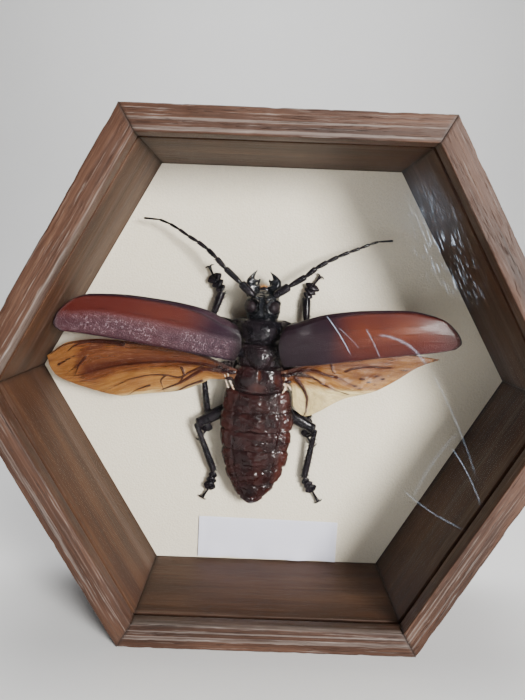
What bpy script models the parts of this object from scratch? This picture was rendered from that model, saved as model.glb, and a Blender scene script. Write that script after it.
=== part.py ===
"""A titan beetle, spread and mounted in a hexagonal glazed wooden case.

The case stands on one of its flat sides with its glass towards -Y, and the origin is under the
middle of its box. Sizes are in millimetres, and make_object turns each mesh to metres. The beetle
is modelled lying flat: X runs to its right, Y towards its head, and Z is the height above the
backing sheet that it is mounted on. The empty "specimen" stands it up in the case.
"""

from math import cos, pi, radians, sin, tan
from typing import NamedTuple

import bmesh
import bpy
import numpy as np
from mathutils import Matrix, Vector

MM = 0.001
GAP = 0.3

# Case: a regular hexagon of mitred bars, measured across its corners and back from its front face
CASE_RADIUS = 146.0
CASE_DEPTH = 78.0
FRAME_WIDTH = 12.15
HALF_SECTOR = radians(30.0)
OUTER = CASE_RADIUS * cos(HALF_SECTOR)
INNER = OUTER - FRAME_WIDTH
FRONT = -CASE_DEPTH / 2
STRIP_BACK = FRONT + 8.0
GLASS_THICKNESS = 2.0
GLASS_SEAT = 4.0
BOARD_FRONT = FRONT + 67.1
BOARD_THICKNESS = 6.6
PANEL_THICKNESS = 3.0
PANEL_SEAT = 6.0
LABEL_SIZE = (82.4, 0.5, 24.8)
LABEL_BOTTOM = -INNER + 1.1
LABEL_TURN = radians(0.8)

# Specimen: how it stands in the case, and the lengths of its body from front to back
SPECIMEN_OFFSET = -9.16
SPECIMEN_TURN = radians(1.36)
MIDDLE = 0.7
HEAD_REAR = 31.65
PROTHORAX_REAR = 17.95
MESOTHORAX_REAR = 6.0
METATHORAX_REAR = -9.3
ABDOMEN_TIP = -75.4
BODY_SIDES = 20
BODY_SQUARENESS = 0.86
LIMB_SIDES = 8
FEELER_SIDES = 7
SPAN_ROOT = 12.0
SPAN_TIP = 106.0

# Finishes, as (name, colour, roughness, metallic)
WOOD = ("wood", (0.30, 0.13, 0.07), 0.45, 0.0)
GLASS = ("glass", (0.85, 0.90, 0.90), 0.04, 0.0)
FOAM = ("backing", (0.72, 0.66, 0.55), 0.85, 0.0)
BOARD = ("back_board", (0.36, 0.22, 0.12), 0.7, 0.0)
PAPER = ("label_paper", (0.80, 0.79, 0.76), 0.8, 0.0)
BLACK_SHELL = ("black_shell", (0.012, 0.010, 0.012), 0.28, 0.0)
BROWN_SHELL = ("brown_shell", (0.060, 0.022, 0.016), 0.32, 0.0)
WING_CASE = ("wing_case", (0.11, 0.045, 0.035), 0.40, 0.0)
MEMBRANE = ("membrane", (0.50, 0.34, 0.14), 0.35, 0.0)
EYE = ("eye", (0.010, 0.009, 0.010), 0.15, 0.0)


class Section(NamedTuple):
    """A cross-section of the body: its place along Y, its width, its heights and its middle."""

    y: float
    half: float
    low: float
    edge: float
    high: float
    middle: float = MIDDLE


class Bend(NamedTuple):
    """A point on a limb's or feeler's middle line, with its half width and half height."""

    x: float
    y: float
    z: float
    half: float
    rise: float


HEAD = (
    Section(HEAD_REAR, 7.2, 6.4, 13.0, 19.2),
    Section(32.6, 8.5, 5.0, 13.0, 20.6),
    Section(36.0, 9.3, 4.3, 13.0, 22.0),
    Section(40.0, 9.5, 4.2, 12.8, 22.0),
    Section(43.0, 8.4, 4.8, 12.4, 20.6),
    Section(45.4, 6.2, 6.0, 12.0, 17.6),
    Section(47.4, 4.2, 8.2, 11.6, 13.8),
)
PROTHORAX = (
    Section(PROTHORAX_REAR, 10.6, 4.4, 12.5, 20.6),
    Section(19.0, 12.6, 3.0, 12.5, 22.4),
    Section(22.5, 13.4, 2.4, 12.8, 23.8),
    Section(27.0, 13.4, 2.4, 12.8, 23.8),
    Section(30.4, 12.8, 3.2, 12.8, 22.2),
    Section(HEAD_REAR - GAP, 10.4, 5.0, 12.8, 20.2),
)
MESOTHORAX = (
    Section(MESOTHORAX_REAR, 11.6, 2.6, 12.4, 20.2),
    Section(7.2, 12.6, 1.6, 12.4, 21.4),
    Section(12.0, 12.4, 1.8, 12.4, 21.8),
    Section(16.4, 12.4, 3.0, 12.6, 21.0),
    Section(PROTHORAX_REAR - GAP, 11.2, 4.4, 12.6, 19.8),
)
METATHORAX = (
    Section(METATHORAX_REAR, 14.4, 2.0, 12.0, 19.6),
    Section(-7.8, 15.4, 1.0, 12.4, 20.8),
    Section(-2.0, 15.2, 0.6, 12.8, 21.8),
    Section(4.2, 13.6, 1.2, 12.6, 21.4),
    Section(MESOTHORAX_REAR - GAP, 12.2, 2.4, 12.4, 20.2),
)
ABDOMEN = (
    Section(METATHORAX_REAR - GAP, 15.6, 2.2, 12.2, 18.8),
    Section(-11.4, 17.4, 0.9, 12.4, 19.0),
    Section(-25.0, 19.8, 0.8, 12.2, 18.8, 0.8),
    Section(-41.0, 18.7, 0.8, 11.4, 17.6, 1.0),
    Section(-54.5, 15.8, 0.9, 10.4, 15.8, 1.1),
    Section(-63.6, 12.0, 1.4, 9.2, 13.6, 0.6),
    Section(-70.6, 7.4, 2.6, 8.4, 11.8, 0.5),
    Section(ABDOMEN_TIP + 1.2, 3.4, 4.8, 8.0, 10.0, 0.1),
    Section(ABDOMEN_TIP, 1.9, 6.2, 7.8, 8.9, 0.0),
)
ABDOMEN_SEAMS = (-19.2, -30.1, -41.1, -52.1, -61.6, -69.6)
SEAM_STEP = 0.8
SEAM_WIDTH = 0.5

# How finely each part of the body is lofted, and its sections
BODY_STEPS = {"head": 14, "prothorax": 10, "mesothorax": 8, "metathorax": 10}
BODY_SECTIONS = {"head": HEAD, "prothorax": PROTHORAX, "mesothorax": MESOTHORAX,
                 "metathorax": METATHORAX, "abdomen": ABDOMEN}

# Eyes: half the distance between them, their place along Y and height, and their radii
EYE_SPREAD = 6.2
EYE_PLACE = (38.4, 14.2)
EYE_RADII = (3.7, 3.5, 7.6)
EYE_RINGS = 10
EYE_SIDES = 14

# Spines on each side of the pronotum, as (place along Y, height, length, lean forward)
COLLAR_SPINES = ((30.2, 14.4, 2.2, 0.45), (25.2, 13.8, 2.0, 0.1), (20.2, 13.4, 1.5, -0.1))
COLLAR_SPINE_ROOT = 11.4
COLLAR_SPINE_SUNK = 2.2
COLLAR_SPINE_RADIUS = 1.5

# The small triangular shield between the wing cases: its outline, its heights and its chamfer
SCUTELLUM = ((-8.2, 16.9), (9.6, 16.9), (6.4, 12.6), (2.0, 8.6), (0.7, 7.4), (-0.6, 8.6), (-5.0, 12.6))
SCUTELLUM_Z = (19.0, 22.9)
SCUTELLUM_CHAMFER = (0.5, 0.86)


def spline(points: list, fraction: float) -> np.ndarray:
    """Return the point at a fraction of a smooth curve through points, which never overshoots."""
    points = np.array(points, float)
    spans = np.linalg.norm(np.diff(points[:, :2], axis=0), axis=1)
    along = np.concatenate(([0.0], np.cumsum(spans)))
    target = fraction * along[-1]
    index = min(int(np.searchsorted(along, target, side="right")) - 1, len(points) - 2)
    index = max(index, 0)
    span = spans[index]
    t = (target - along[index]) / span
    secants = np.diff(points, axis=0) / spans[:, None]
    before, after = secants[:-1], secants[1:]
    product = before * after
    inner = np.where(product > 0, 2 * product / np.where(product > 0, before + after, 1.0), 0.0)
    slopes = np.concatenate((secants[:1], inner, secants[-1:]))
    near, far = points[index], points[index + 1]
    return ((2 * t**3 - 3 * t**2 + 1) * near + (t**3 - 2 * t**2 + t) * span * slopes[index]
            + (3 * t**2 - 2 * t**3) * far + (t**3 - t**2) * span * slopes[index + 1])


def loft(rings: list) -> bmesh.types.BMesh:
    """Skin closed rings of equal count, with a flat cap at each end."""
    bm = bmesh.new()
    loops = [[bm.verts.new(point) for point in ring] for ring in rings]
    count = len(loops[0])
    for near, far in zip(loops, loops[1:]):
        for k in range(count):
            bm.faces.new((near[k], near[(k + 1) % count], far[(k + 1) % count], far[k]))
    bm.faces.new(loops[0])
    bm.faces.new(loops[-1])
    bmesh.ops.recalc_face_normals(bm, faces=bm.faces)
    return bm


def body_ring(section: Section, grow: float) -> list:
    """Return the ring of a cross-section: a rounded form that is widest at its edge height."""
    ring = []
    for k in range(BODY_SIDES):
        across, up = cos(2 * pi * k / BODY_SIDES), sin(2 * pi * k / BODY_SIDES)
        reach = section.high - section.edge if up > 0 else section.edge - section.low
        wide = np.sign(across) * abs(across) ** BODY_SQUARENESS
        tall = np.sign(up) * abs(up) ** BODY_SQUARENESS
        x = section.middle + wide * (section.half + grow)
        z = section.edge + tall * (reach + grow)
        ring.append((x, section.y, z))
    return ring


def abdomen_rings() -> list:
    """Return (place, step-in) for each ring of the abdomen: each plate's rear laps the next one."""
    ends = (ABDOMEN[0].y, *ABDOMEN_SEAMS, ABDOMEN[-1].y)
    rings = []
    for number, (front, rear) in enumerate(zip(ends, ends[1:])):
        start = front - SEAM_WIDTH / 2 if number else front
        stop = rear + SEAM_WIDTH / 2 if rear != ends[-1] else rear
        tuck = SEAM_STEP if number else 0.0
        for share, step_in in ((0.0, tuck), (0.28, tuck * 0.35), (0.7, 0.0), (1.0, 0.0)):
            rings.append((start + (stop - start) * share, step_in))
    return rings


def body(name: str, grow: float = 0.0) -> bmesh.types.BMesh:
    """Loft a part of the body through its sections, or the same form grown on every side."""
    sections = BODY_SECTIONS[name]
    first, last = sections[0].y, sections[-1].y
    table = [(s.y, 0.0, s.half, s.low, s.edge, s.high, s.middle) for s in sections]
    if name == "abdomen":
        places = abdomen_rings()
    else:
        steps = BODY_STEPS[name]
        places = [(first + (last - first) * step / steps, 0.0) for step in range(steps + 1)]
    rings = []
    for place, step_in in places:
        share = (place - first) / (last - first)
        _, _, *sizes = spline(table, share)
        outward = grow * {0.0: -1, 1.0: 1}.get(share, 0) * np.sign(last - first)
        rings.append(body_ring(Section(place + outward, *sizes), grow - step_in))
    return loft(rings)


def limb(route: list, steps: int = 0, grow: float = 0.0, sides: int = LIMB_SIDES) -> bmesh.types.BMesh:
    """Loft a tapering limb along its route, at its own bends or at even steps between them."""
    if steps:
        bends = [spline(route, step / steps) for step in range(steps + 1)]
    else:
        bends = [np.array(bend, float) for bend in route]
        steps = len(bends) - 1
    rings = []
    for k, bend in enumerate(bends):
        along = bends[min(k + 1, steps)][:3] - bends[max(k - 1, 0)][:3]
        along = Vector(along).normalized()
        across = along.cross(Vector((0, 0, 1))).normalized()
        up = across.cross(along)
        end = {0: -grow, steps: grow}.get(k, 0.0)
        centre = Vector(bend[:3]) + along * end
        ring = []
        for side in range(sides):
            turn = 2 * pi * side / sides
            sideways = across * (bend[3] + grow) * cos(turn)
            ring.append(centre + sideways + up * (bend[4] + grow) * sin(turn))
        rings.append(ring)
    return loft(rings)


def eyeball(centre: tuple, grow: float = 0.0) -> bmesh.types.BMesh:
    """Return an eye about its centre, or the same form grown on every side."""
    bm = bmesh.new()
    bmesh.ops.create_uvsphere(bm, u_segments=EYE_SIDES, v_segments=EYE_RINGS, radius=1.0)
    bmesh.ops.scale(bm, vec=[radius + grow for radius in EYE_RADII], verts=bm.verts)
    bmesh.ops.translate(bm, vec=centre, verts=bm.verts)
    return bm


class Rail(NamedTuple):
    """A line along a wing from its root to its margin, and the height of the ridge along it."""

    ridge: float
    points: tuple


class Vane(NamedTuple):
    """A wing case or wing: its heights at root and tip, its arch and thickness, and its rails."""

    root_z: float
    tip_z: float
    arch: float
    thickness: float
    flank: float
    rails: tuple

    def height(self, x: float, rank: float, share: float) -> float:
        """Return the height of the sheet's middle at a place across and along the wing."""
        span = (abs(x) - SPAN_ROOT) / (SPAN_TIP - SPAN_ROOT)
        rise = self.arch * (1 - share**4) * sin(pi * rank)
        return self.root_z + (self.tip_z - self.root_z) * span + rise


def rows_between(rails: tuple, steps: int, flank: float) -> list:
    """Return the sheet's rows as (points, rank, is a ridge), with a row on each side of a ridge."""
    runs = [[spline(rail.points, step / steps)[:2] for step in range(steps + 1)] for rail in rails]
    rows = []
    for rank, (rail, run) in enumerate(zip(rails, runs)):
        for side in (-1, 0, 1):
            if side == 0:
                rows.append((run, rank, rail.ridge))
            elif rail.ridge and 0 <= rank + side < len(rails):
                points, reach = [], []
                for here, there in zip(run, runs[rank + side]):
                    share = min(0.4, flank / max(np.linalg.norm(there - here), flank))
                    points.append(here + (there - here) * share)
                    reach.append(share)
                rows.append((points, rank + side * float(np.mean(reach)), 0.0))
    return rows


def sheet(vane: Vane, steps: int) -> bmesh.types.BMesh:
    """Skin a thin curved sheet across a vane's rails, which run from its root to its margin.

    A rail with a ridge stands up in the upper face. Both faces are split into triangles alike, so
    they never cross.
    """
    bm = bmesh.new()
    lines = rows_between(vane.rails, steps, vane.flank)
    half = vane.thickness / 2
    top, bottom = [], []
    for points, rank, ridge in lines:
        upper, lower = [], []
        for step, (x, y) in enumerate(points):
            share = step / steps
            z = vane.height(x, rank / (len(vane.rails) - 1), share)
            upper.append(bm.verts.new((x, y, z + half + ridge * (1 - share**3))))
            lower.append(bm.verts.new((x, y, z - half)))
        top.append(upper)
        bottom.append(lower)
    faces = (top, bottom)
    for near in range(len(lines) - 1):
        for step in range(steps):
            for rows in faces:
                a, b = rows[near][step], rows[near][step + 1]
                c, d = rows[near + 1][step + 1], rows[near + 1][step]
                bm.faces.new((a, b, c))
                bm.faces.new((a, c, d))
    last = len(lines) - 1
    rim = ([(0, s) for s in range(steps)] + [(r, steps) for r in range(last)]
           + [(last, s) for s in range(steps, 0, -1)] + [(r, 0) for r in range(last, 0, -1)])
    for (r0, s0), (r1, s1) in zip(rim, rim[1:] + rim[:1]):
        bm.faces.new((top[r0][s0], top[r1][s1], bottom[r1][s1]))
        bm.faces.new((top[r0][s0], bottom[r1][s1], bottom[r0][s0]))
    bmesh.ops.recalc_face_normals(bm, faces=bm.faces)
    return bm


def make_material(finish: tuple) -> bpy.types.Material:
    """Return the Principled material of a finish, made once."""
    name, colour, roughness, metallic = finish
    material = bpy.data.materials.get(name)
    if material is None:
        material = bpy.data.materials.new(name)
        material.use_nodes = True
        shader = material.node_tree.nodes["Principled BSDF"]
        shader.inputs["Base Color"].default_value = (*colour, 1.0)
        shader.inputs["Roughness"].default_value = roughness
        shader.inputs["Metallic"].default_value = metallic
        material.diffuse_color = (*colour, 1.0)
    return material


def make_object(name: str, bm: bmesh.types.BMesh, finish: tuple, parent) -> bpy.types.Object:
    """Turn a mesh in millimetres into a named object in metres under its parent."""
    bmesh.ops.scale(bm, vec=(MM, MM, MM), verts=bm.verts)
    mesh = bpy.data.meshes.new(name)
    bm.to_mesh(mesh)
    bm.free()
    mesh.materials.append(make_material(finish))
    mesh.shade_smooth()
    mesh.set_sharp_from_angle(angle=radians(40))
    thing = bpy.data.objects.new(name, mesh)
    bpy.context.scene.collection.objects.link(thing)
    thing.parent = parent
    return thing


def make_empty(name: str, place: tuple, turn: Matrix) -> bpy.types.Object:
    """Add an empty that carries other objects, at a place in millimetres."""
    empty = bpy.data.objects.new(name, None)
    empty.matrix_world = Matrix.Translation(Vector(place) * MM) @ turn
    bpy.context.scene.collection.objects.link(empty)
    return empty


def scratch(bm: bmesh.types.BMesh, thing: bpy.types.Object) -> bpy.types.Object:
    """Turn a mesh into a helper object in the space of the node that it shapes."""
    helper = make_object(thing.name + "_helper", bm, BLACK_SHELL, thing.parent)
    helper.hide_render = True
    helper.display_type = "WIRE"
    return helper


def keep_largest(thing: bpy.types.Object) -> None:
    """Keep only the largest closed surface of a node."""
    bm = bmesh.new()
    bm.from_mesh(thing.data)
    bmesh.ops.triangulate(bm, faces=bm.faces)
    left = set(bm.faces)
    shells = []
    while left:
        shell, edge = set(), [left.pop()]
        while edge:
            face = edge.pop()
            shell.add(face)
            for link in (f for e in face.edges for f in e.link_faces if f in left):
                left.discard(link)
                edge.append(link)
        shells.append(shell)
    shells.sort(key=lambda shell: sum(face.calc_area() for face in shell))
    scraps = [face for shell in shells[:-1] for face in shell]
    bmesh.ops.delete(bm, geom=scraps, context="FACES")
    bm.to_mesh(thing.data)
    bm.free()


def shape_with(thing: bpy.types.Object, pieces: list, operation: str) -> None:
    """Fuse pieces into a node, or cut them out of it, by one Boolean, and remove them."""
    group = bpy.data.collections.new(thing.name + "_pieces")
    bpy.context.scene.collection.children.link(group)
    helpers = [scratch(bm, thing) for bm in pieces]
    for helper in helpers:
        group.objects.link(helper)
    modifier = thing.modifiers.new("pieces", "BOOLEAN")
    modifier.operation = operation
    modifier.operand_type = "COLLECTION"
    modifier.collection = group
    modifier.solver = "EXACT"
    graph = bpy.context.evaluated_depsgraph_get()
    mesh = bpy.data.meshes.new_from_object(thing.evaluated_get(graph))
    thing.modifiers.clear()
    thing.data = mesh
    for helper in helpers:
        bpy.data.objects.remove(helper)
    bpy.data.collections.remove(group)
    keep_largest(thing)


def hexagon(apothem: float, front: float, thickness: float) -> bmesh.types.BMesh:
    """Return a flat hexagonal plate with its face towards -Y and corners at both sides."""
    bm = bmesh.new()
    corner = apothem / cos(HALF_SECTOR)
    bmesh.ops.create_cone(bm, cap_ends=True, segments=6, radius1=corner, radius2=corner, depth=thickness)
    upright = Matrix.Rotation(pi / 2, 4, "X") @ Matrix.Rotation(HALF_SECTOR, 4, "Z")
    bmesh.ops.transform(bm, matrix=upright, verts=bm.verts)
    bmesh.ops.translate(bm, vec=(0, front + thickness / 2, 0), verts=bm.verts)
    return bm


def mitred_bar(profile: list) -> bmesh.types.BMesh:
    """Return one side of the hexagon: a profile of (radius, depth) points between its mitres."""
    bm = bmesh.new()
    end = bm.faces.new([bm.verts.new((0, depth, radius)) for radius, depth in profile])
    other = bmesh.ops.extrude_face_region(bm, geom=[end])["geom"]
    far = {v for v in other if isinstance(v, bmesh.types.BMVert)}
    for vert in bm.verts:
        reach = vert.co.z * tan(HALF_SECTOR) - GAP / 2 / cos(HALF_SECTOR)
        vert.co.x = reach if vert in far else -reach
    bmesh.ops.recalc_face_normals(bm, faces=bm.faces)
    return bm


def build_case(case) -> None:
    """Build the case: six walls with rebates, the front strips, the glass, the back and the label."""
    wall_front = STRIP_BACK + GAP
    glass_floor = wall_front + GLASS_THICKNESS + GAP
    panel_front = BOARD_FRONT + BOARD_THICKNESS + GAP
    wall = [
        (OUTER, wall_front), (INNER + GLASS_SEAT + GAP, wall_front),
        (INNER + GLASS_SEAT + GAP, glass_floor), (INNER, glass_floor),
        (INNER, panel_front - GAP), (INNER + PANEL_SEAT + GAP, panel_front - GAP),
        (INNER + PANEL_SEAT + GAP, -FRONT), (OUTER, -FRONT),
    ]
    strip = [(OUTER, FRONT), (INNER, FRONT), (INNER, STRIP_BACK), (OUTER, STRIP_BACK)]
    sides = ("top", "top_right", "bottom_right", "bottom", "bottom_left", "top_left")
    for number, side in enumerate(sides):
        for name, profile in (("case_wall_", wall), ("case_strip_", strip)):
            bar = make_object(name + side, mitred_bar(profile), WOOD, case)
            bar.rotation_euler.y = 2 * HALF_SECTOR * number
    make_object("glass", hexagon(INNER + GLASS_SEAT, wall_front, GLASS_THICKNESS), GLASS, case)
    make_object("backing_sheet", hexagon(INNER - GAP, BOARD_FRONT, BOARD_THICKNESS), FOAM, case)
    make_object("back_panel", hexagon(INNER + PANEL_SEAT, panel_front, PANEL_THICKNESS), BOARD, case)
    label = bmesh.new()
    bmesh.ops.create_cube(label, size=1.0)
    bmesh.ops.scale(label, vec=LABEL_SIZE, verts=label.verts)
    bmesh.ops.rotate(label, matrix=Matrix.Rotation(LABEL_TURN, 3, "Y"), verts=label.verts)
    place = (0.1, BOARD_FRONT - GAP - LABEL_SIZE[1] / 2, LABEL_BOTTOM + LABEL_SIZE[2] / 2)
    bmesh.ops.translate(label, vec=place, verts=label.verts)
    make_object("label", label, PAPER, case)


def side_of(right: bool) -> str:
    """Return the end of a node's name for a side of the beetle."""
    return "right" if right else "left"


def spine(root: Vector, tip: Vector, radius: float, sides: int) -> bmesh.types.BMesh:
    """Return a pointed cone from its sunk root to its tip."""
    bm = bmesh.new()
    along = Vector(tip) - Vector(root)
    bmesh.ops.create_cone(bm, cap_ends=True, segments=sides, radius1=radius, radius2=0.0,
                          depth=along.length)
    turn = along.to_track_quat("Z", "Y").to_matrix().to_4x4()
    place = Matrix.Translation(Vector(root) + along / 2) @ turn
    bmesh.ops.transform(bm, matrix=place, verts=bm.verts)
    return bm


def plate(outline: tuple, heights: tuple) -> bmesh.types.BMesh:
    """Return a flat plate: an outline between two heights, chamfered at the top."""
    middle = np.mean(np.array(outline), axis=0)
    drop, inset = SCUTELLUM_CHAMFER
    rings = []
    for z, share in ((heights[0], 1.0), (heights[1] - drop, 1.0), (heights[1], inset)):
        rings.append([(*(middle + (np.array(point) - middle) * share), z) for point in outline])
    return loft(rings)


def build_body(specimen) -> None:
    """Build the head with its eyes sunk in, the three parts of the thorax, and the abdomen."""
    head = make_object("head", body("head"), BLACK_SHELL, specimen)
    sockets = []
    for right, x in ((False, MIDDLE - EYE_SPREAD), (True, MIDDLE + EYE_SPREAD)):
        centre = (x, *EYE_PLACE)
        make_object("eye_" + side_of(right), eyeball(centre), EYE, specimen)
        sockets.append(eyeball(centre, GAP))
    shape_with(head, sockets, "DIFFERENCE")
    collar = make_object("prothorax", body("prothorax"), BLACK_SHELL, specimen)
    spines = []
    for side in (-1, 1):
        for y, z, length, lean in COLLAR_SPINES:
            root = Vector((MIDDLE + side * COLLAR_SPINE_ROOT, y - 1.0, z))
            reach = Vector((side, lean, 0.0)).normalized() * (length + COLLAR_SPINE_SUNK)
            spines.append(spine(root, root + reach, COLLAR_SPINE_RADIUS, 5))
    shape_with(collar, spines, "UNION")
    middle = make_object("mesothorax", body("mesothorax"), BLACK_SHELL, specimen)
    shape_with(middle, [plate(SCUTELLUM, SCUTELLUM_Z)], "UNION")
    make_object("metathorax", body("metathorax"), BROWN_SHELL, specimen)
    make_object("abdomen", body("abdomen"), BROWN_SHELL, specimen)


# Jaws: their bends from root to tip, and their teeth as (root x, y, tip x, y, radius)
MANDIBLES = {
    False: (Bend(-5.0, 43.5, 11.8, 3.0, 3.2), Bend(-6.1, 48.0, 11.8, 2.8, 3.0),
            Bend(-6.6, 52.0, 11.6, 2.2, 2.2), Bend(-5.6, 55.4, 11.4, 1.3, 1.4),
            Bend(-3.7, 57.7, 11.2, 0.3, 0.4)),
    True: (Bend(6.0, 43.5, 11.8, 3.0, 3.2), Bend(7.0, 48.0, 11.8, 2.8, 3.0),
           Bend(7.2, 52.0, 11.6, 2.2, 2.2), Bend(6.0, 55.2, 11.4, 1.3, 1.4),
           Bend(3.5, 57.1, 11.2, 0.3, 0.4)),
}
JAW_TEETH = {
    False: ((-6.4, 52.2, -2.8, 53.0, 1.3), (-5.8, 49.4, -1.9, 50.2, 1.7)),
    True: ((7.0, 51.6, 3.4, 52.4, 1.3), (6.6, 48.8, 2.6, 49.6, 1.7)),
}
JAW_TOOTH_Z = 11.7
JAW_TOOTH_SIDES = 6


def build_mandibles(specimen) -> None:
    """Build the two curved jaws with their teeth, cut clear of the head that they hinge on."""
    for right, route in MANDIBLES.items():
        jaw = make_object("mandible_" + side_of(right), limb(route, 8), BLACK_SHELL, specimen)
        teeth = [spine((x0, y0, JAW_TOOTH_Z), (x1, y1, JAW_TOOTH_Z), radius, JAW_TOOTH_SIDES)
                 for x0, y0, x1, y1, radius in JAW_TEETH[right]]
        shape_with(jaw, teeth, "UNION")
        shape_with(jaw, [body("head", GAP)], "DIFFERENCE")


# Feelers: the places of their joints, and their heights and half widths at the root and the tip
ANTENNA_JOINTS = {
    False: ((-4.9, 44.3), (-11.9, 50.4), (-20.8, 57.8), (-25.7, 62.8), (-30.7, 67.2), (-36.3, 70.9),
            (-41.5, 73.6), (-46.8, 76.9), (-52.0, 79.6), (-57.8, 81.6), (-66.6, 82.0)),
    True: ((6.4, 44.7), (14.0, 50.2), (22.5, 55.9), (27.6, 60.6), (33.5, 64.3), (39.1, 67.4),
           (45.0, 70.2), (50.7, 72.6), (56.0, 75.1), (60.7, 76.9), (69.0, 78.0)),
}
ANTENNA_Z = (17.6, 8.0)
ANTENNA_HALF = (1.9, 0.45)
ANTENNA_TAPER = 0.6
ANTENNA_LENGTHS = (("base", 0, 1), ("middle", 1, 4), ("tip", 4, 10))

# Share of the way along a feeler's joint, and how far it swells there
FEELER_SWELL = ((0.0, 0.72), (0.16, 0.86), (0.8, 1.04), (0.93, 1.2), (0.995, 0.8))


def feeler_joint(joints: tuple, rank: int) -> np.ndarray:
    """Return the bend at a feeler's joint: its place, half width and half height."""
    share = rank / (len(joints) - 1)
    half = ANTENNA_HALF[0] + (ANTENNA_HALF[1] - ANTENNA_HALF[0]) * share**ANTENNA_TAPER
    z = ANTENNA_Z[0] + (ANTENNA_Z[1] - ANTENNA_Z[0]) * share
    return np.array((*joints[rank], z, half, half))


def build_antennae(specimen) -> None:
    """Build each feeler in three lengths that meet face to face."""
    for right, joints in ANTENNA_JOINTS.items():
        for length, first, last in ANTENNA_LENGTHS:
            route = []
            for rank in range(first, last):
                near, far = feeler_joint(joints, rank), feeler_joint(joints, rank + 1)
                for along, swell in FEELER_SWELL:
                    bend = near + (far - near) * along
                    bend[3:] *= swell
                    route.append(bend)
            if first:
                step = route[1][:3] - route[0][:3]
                route[0][:3] += step * GAP / np.linalg.norm(step)
            name = "antenna_" + side_of(right) + "_" + length
            feeler = make_object(name, limb(route, sides=FEELER_SIDES), BLACK_SHELL, specimen)
            if not first:
                shape_with(feeler, [body("head", GAP)], "DIFFERENCE")


class Leg(NamedTuple):
    """A leg's joints as (x, y, z), the width of its thigh and shin, and where its foot ends."""

    coxa: tuple
    knee: tuple
    ankle: tuple
    pads: tuple
    foot: tuple
    thigh: float
    shin: float


LEGS = {
    "foreleg_left": Leg((-8, 23.5, 6.5), (-27.4, 29.6, 6.2), (-22.6, 45.0, 4.0),
                        (-28.2, 53.6, 2.4), (-30.6, 58.6, 1.6), 3.3, 2.0),
    "foreleg_right": Leg((9, 23.5, 6.5), (25.4, 29.0, 6.2), (24.6, 44.2, 4.0),
                         (28.2, 51.6, 2.4), (31.8, 56.8, 1.6), 3.3, 2.0),
    "midleg_left": Leg((-8, 5.0, 6.0), (-30.6, 0.6, 7.6), (-27.5, -25.0, 3.0),
                       (-28.0, -35.6, 1.7), (-31.8, -42.0, 1.5), 3.2, 1.7),
    "midleg_right": Leg((9, 5.0, 6.0), (31.6, -0.8, 7.6), (30.7, -24.4, 3.0),
                        (30.6, -35.6, 1.7), (34.8, -41.6, 1.5), 3.2, 1.7),
    "hindleg_left": Leg((-10, -17.0, 7.0), (-33.2, -30.6, 7.4), (-22.0, -59.4, 4.0),
                        (-24.8, -70.4, 2.4), (-28.4, -76.6, 1.6), 3.3, 1.8),
    "hindleg_right": Leg((11, -17.2, 7.0), (34.4, -30.2, 7.4), (30.5, -60.4, 4.0),
                         (36.0, -68.2, 2.4), (40.2, -75.0, 1.6), 3.3, 1.8),
}

# Share of the way along a thigh and a shin, and how wide it is there
THIGH_WIDTHS = ((0.0, 0.82), (0.3, 1.0), (0.7, 1.0), (0.92, 0.86), (1.0, 0.5))
THIGH_RISE = 0.84
SHIN_WIDTHS = ((0.0, 0.7), (0.12, 0.8), (0.5, 0.92), (0.85, 1.25), (1.0, 1.4))
SHIN_RISE = 0.8
THIGH_STEPS = 8
SHIN_STEPS = 10

# Share of the way along the pads and the last joint of a foot, with half width and half height
PAD_WIDTHS = ((0.0, 0.9, 0.8), (0.14, 1.5, 1.0), (0.32, 2.1, 1.1), (0.36, 1.4, 0.9), (0.6, 2.5, 1.1),
              (0.65, 1.7, 0.9), (0.95, 3.0, 1.1), (1.0, 2.4, 0.9))
LAST_JOINT = ((0.08, 0.75, 0.6), (0.6, 0.7, 0.6), (0.95, 0.95, 0.75), (1.0, 0.6, 0.5))

# Share of the way along a claw, with how far it turns out and how thick it is there
CLAW_BENDS = ((0.0, 1.5, 1.0), (0.4, 1.3, 0.9), (0.75, 0.8, 0.6), (1.0, 0.25, 0.2))
CLAW_SPREAD = radians(38)
CLAW_LENGTH = 3.0
CLAW_HALF = 0.5
CLAW_SUNK = 0.6

# Spines along a shin and the spurs at its end: their shares, lengths, radius and lean forward
SPINE_SHARES = (0.24, 0.38, 0.52, 0.66, 0.8)
SPINE_LENGTH = 2.0
SPINE_RADIUS = 0.6
SPINE_SUNK = 0.7
SPINE_LEAN = 0.7
SPUR_SHARE = 0.95
SPUR_LENGTH = 2.4
SPUR_RADIUS = 0.72
SPUR_SUNK = 0.9
SPUR_SPREAD = 0.5
SPINE_SIDES = 4
TIP_GROWTH = 3


def between(start: tuple, end: tuple, share: float) -> np.ndarray:
    """Return the point at a share of the way from start to end."""
    return np.array(start) + (np.array(end) - np.array(start)) * share


def thigh_route(leg: Leg) -> list:
    """Return the bends of a thigh, thickest past its middle and rounded at the knee."""
    return [[*between(leg.coxa, leg.knee, share), leg.thigh * wide, leg.thigh * wide * THIGH_RISE]
            for share, wide in THIGH_WIDTHS]


def shin_route(leg: Leg) -> list:
    """Return the bends of a shin, slim below the knee and widening to the foot."""
    rises = [leg.shin * min(wide, 1.0) * SHIN_RISE for _, wide in SHIN_WIDTHS]
    return [[*between(leg.knee, leg.ankle, share), leg.shin * wide, rise]
            for (share, wide), rise in zip(SHIN_WIDTHS, rises)]


def foot_route(leg: Leg) -> list:
    """Return the bends of a foot: three lobed pads, then the slim last joint."""
    pads = [[*between(leg.ankle, leg.pads, share), half, rise] for share, half, rise in PAD_WIDTHS]
    last = [[*between(leg.pads, leg.foot, share), half, rise] for share, half, rise in LAST_JOINT]
    return pads + last


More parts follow.
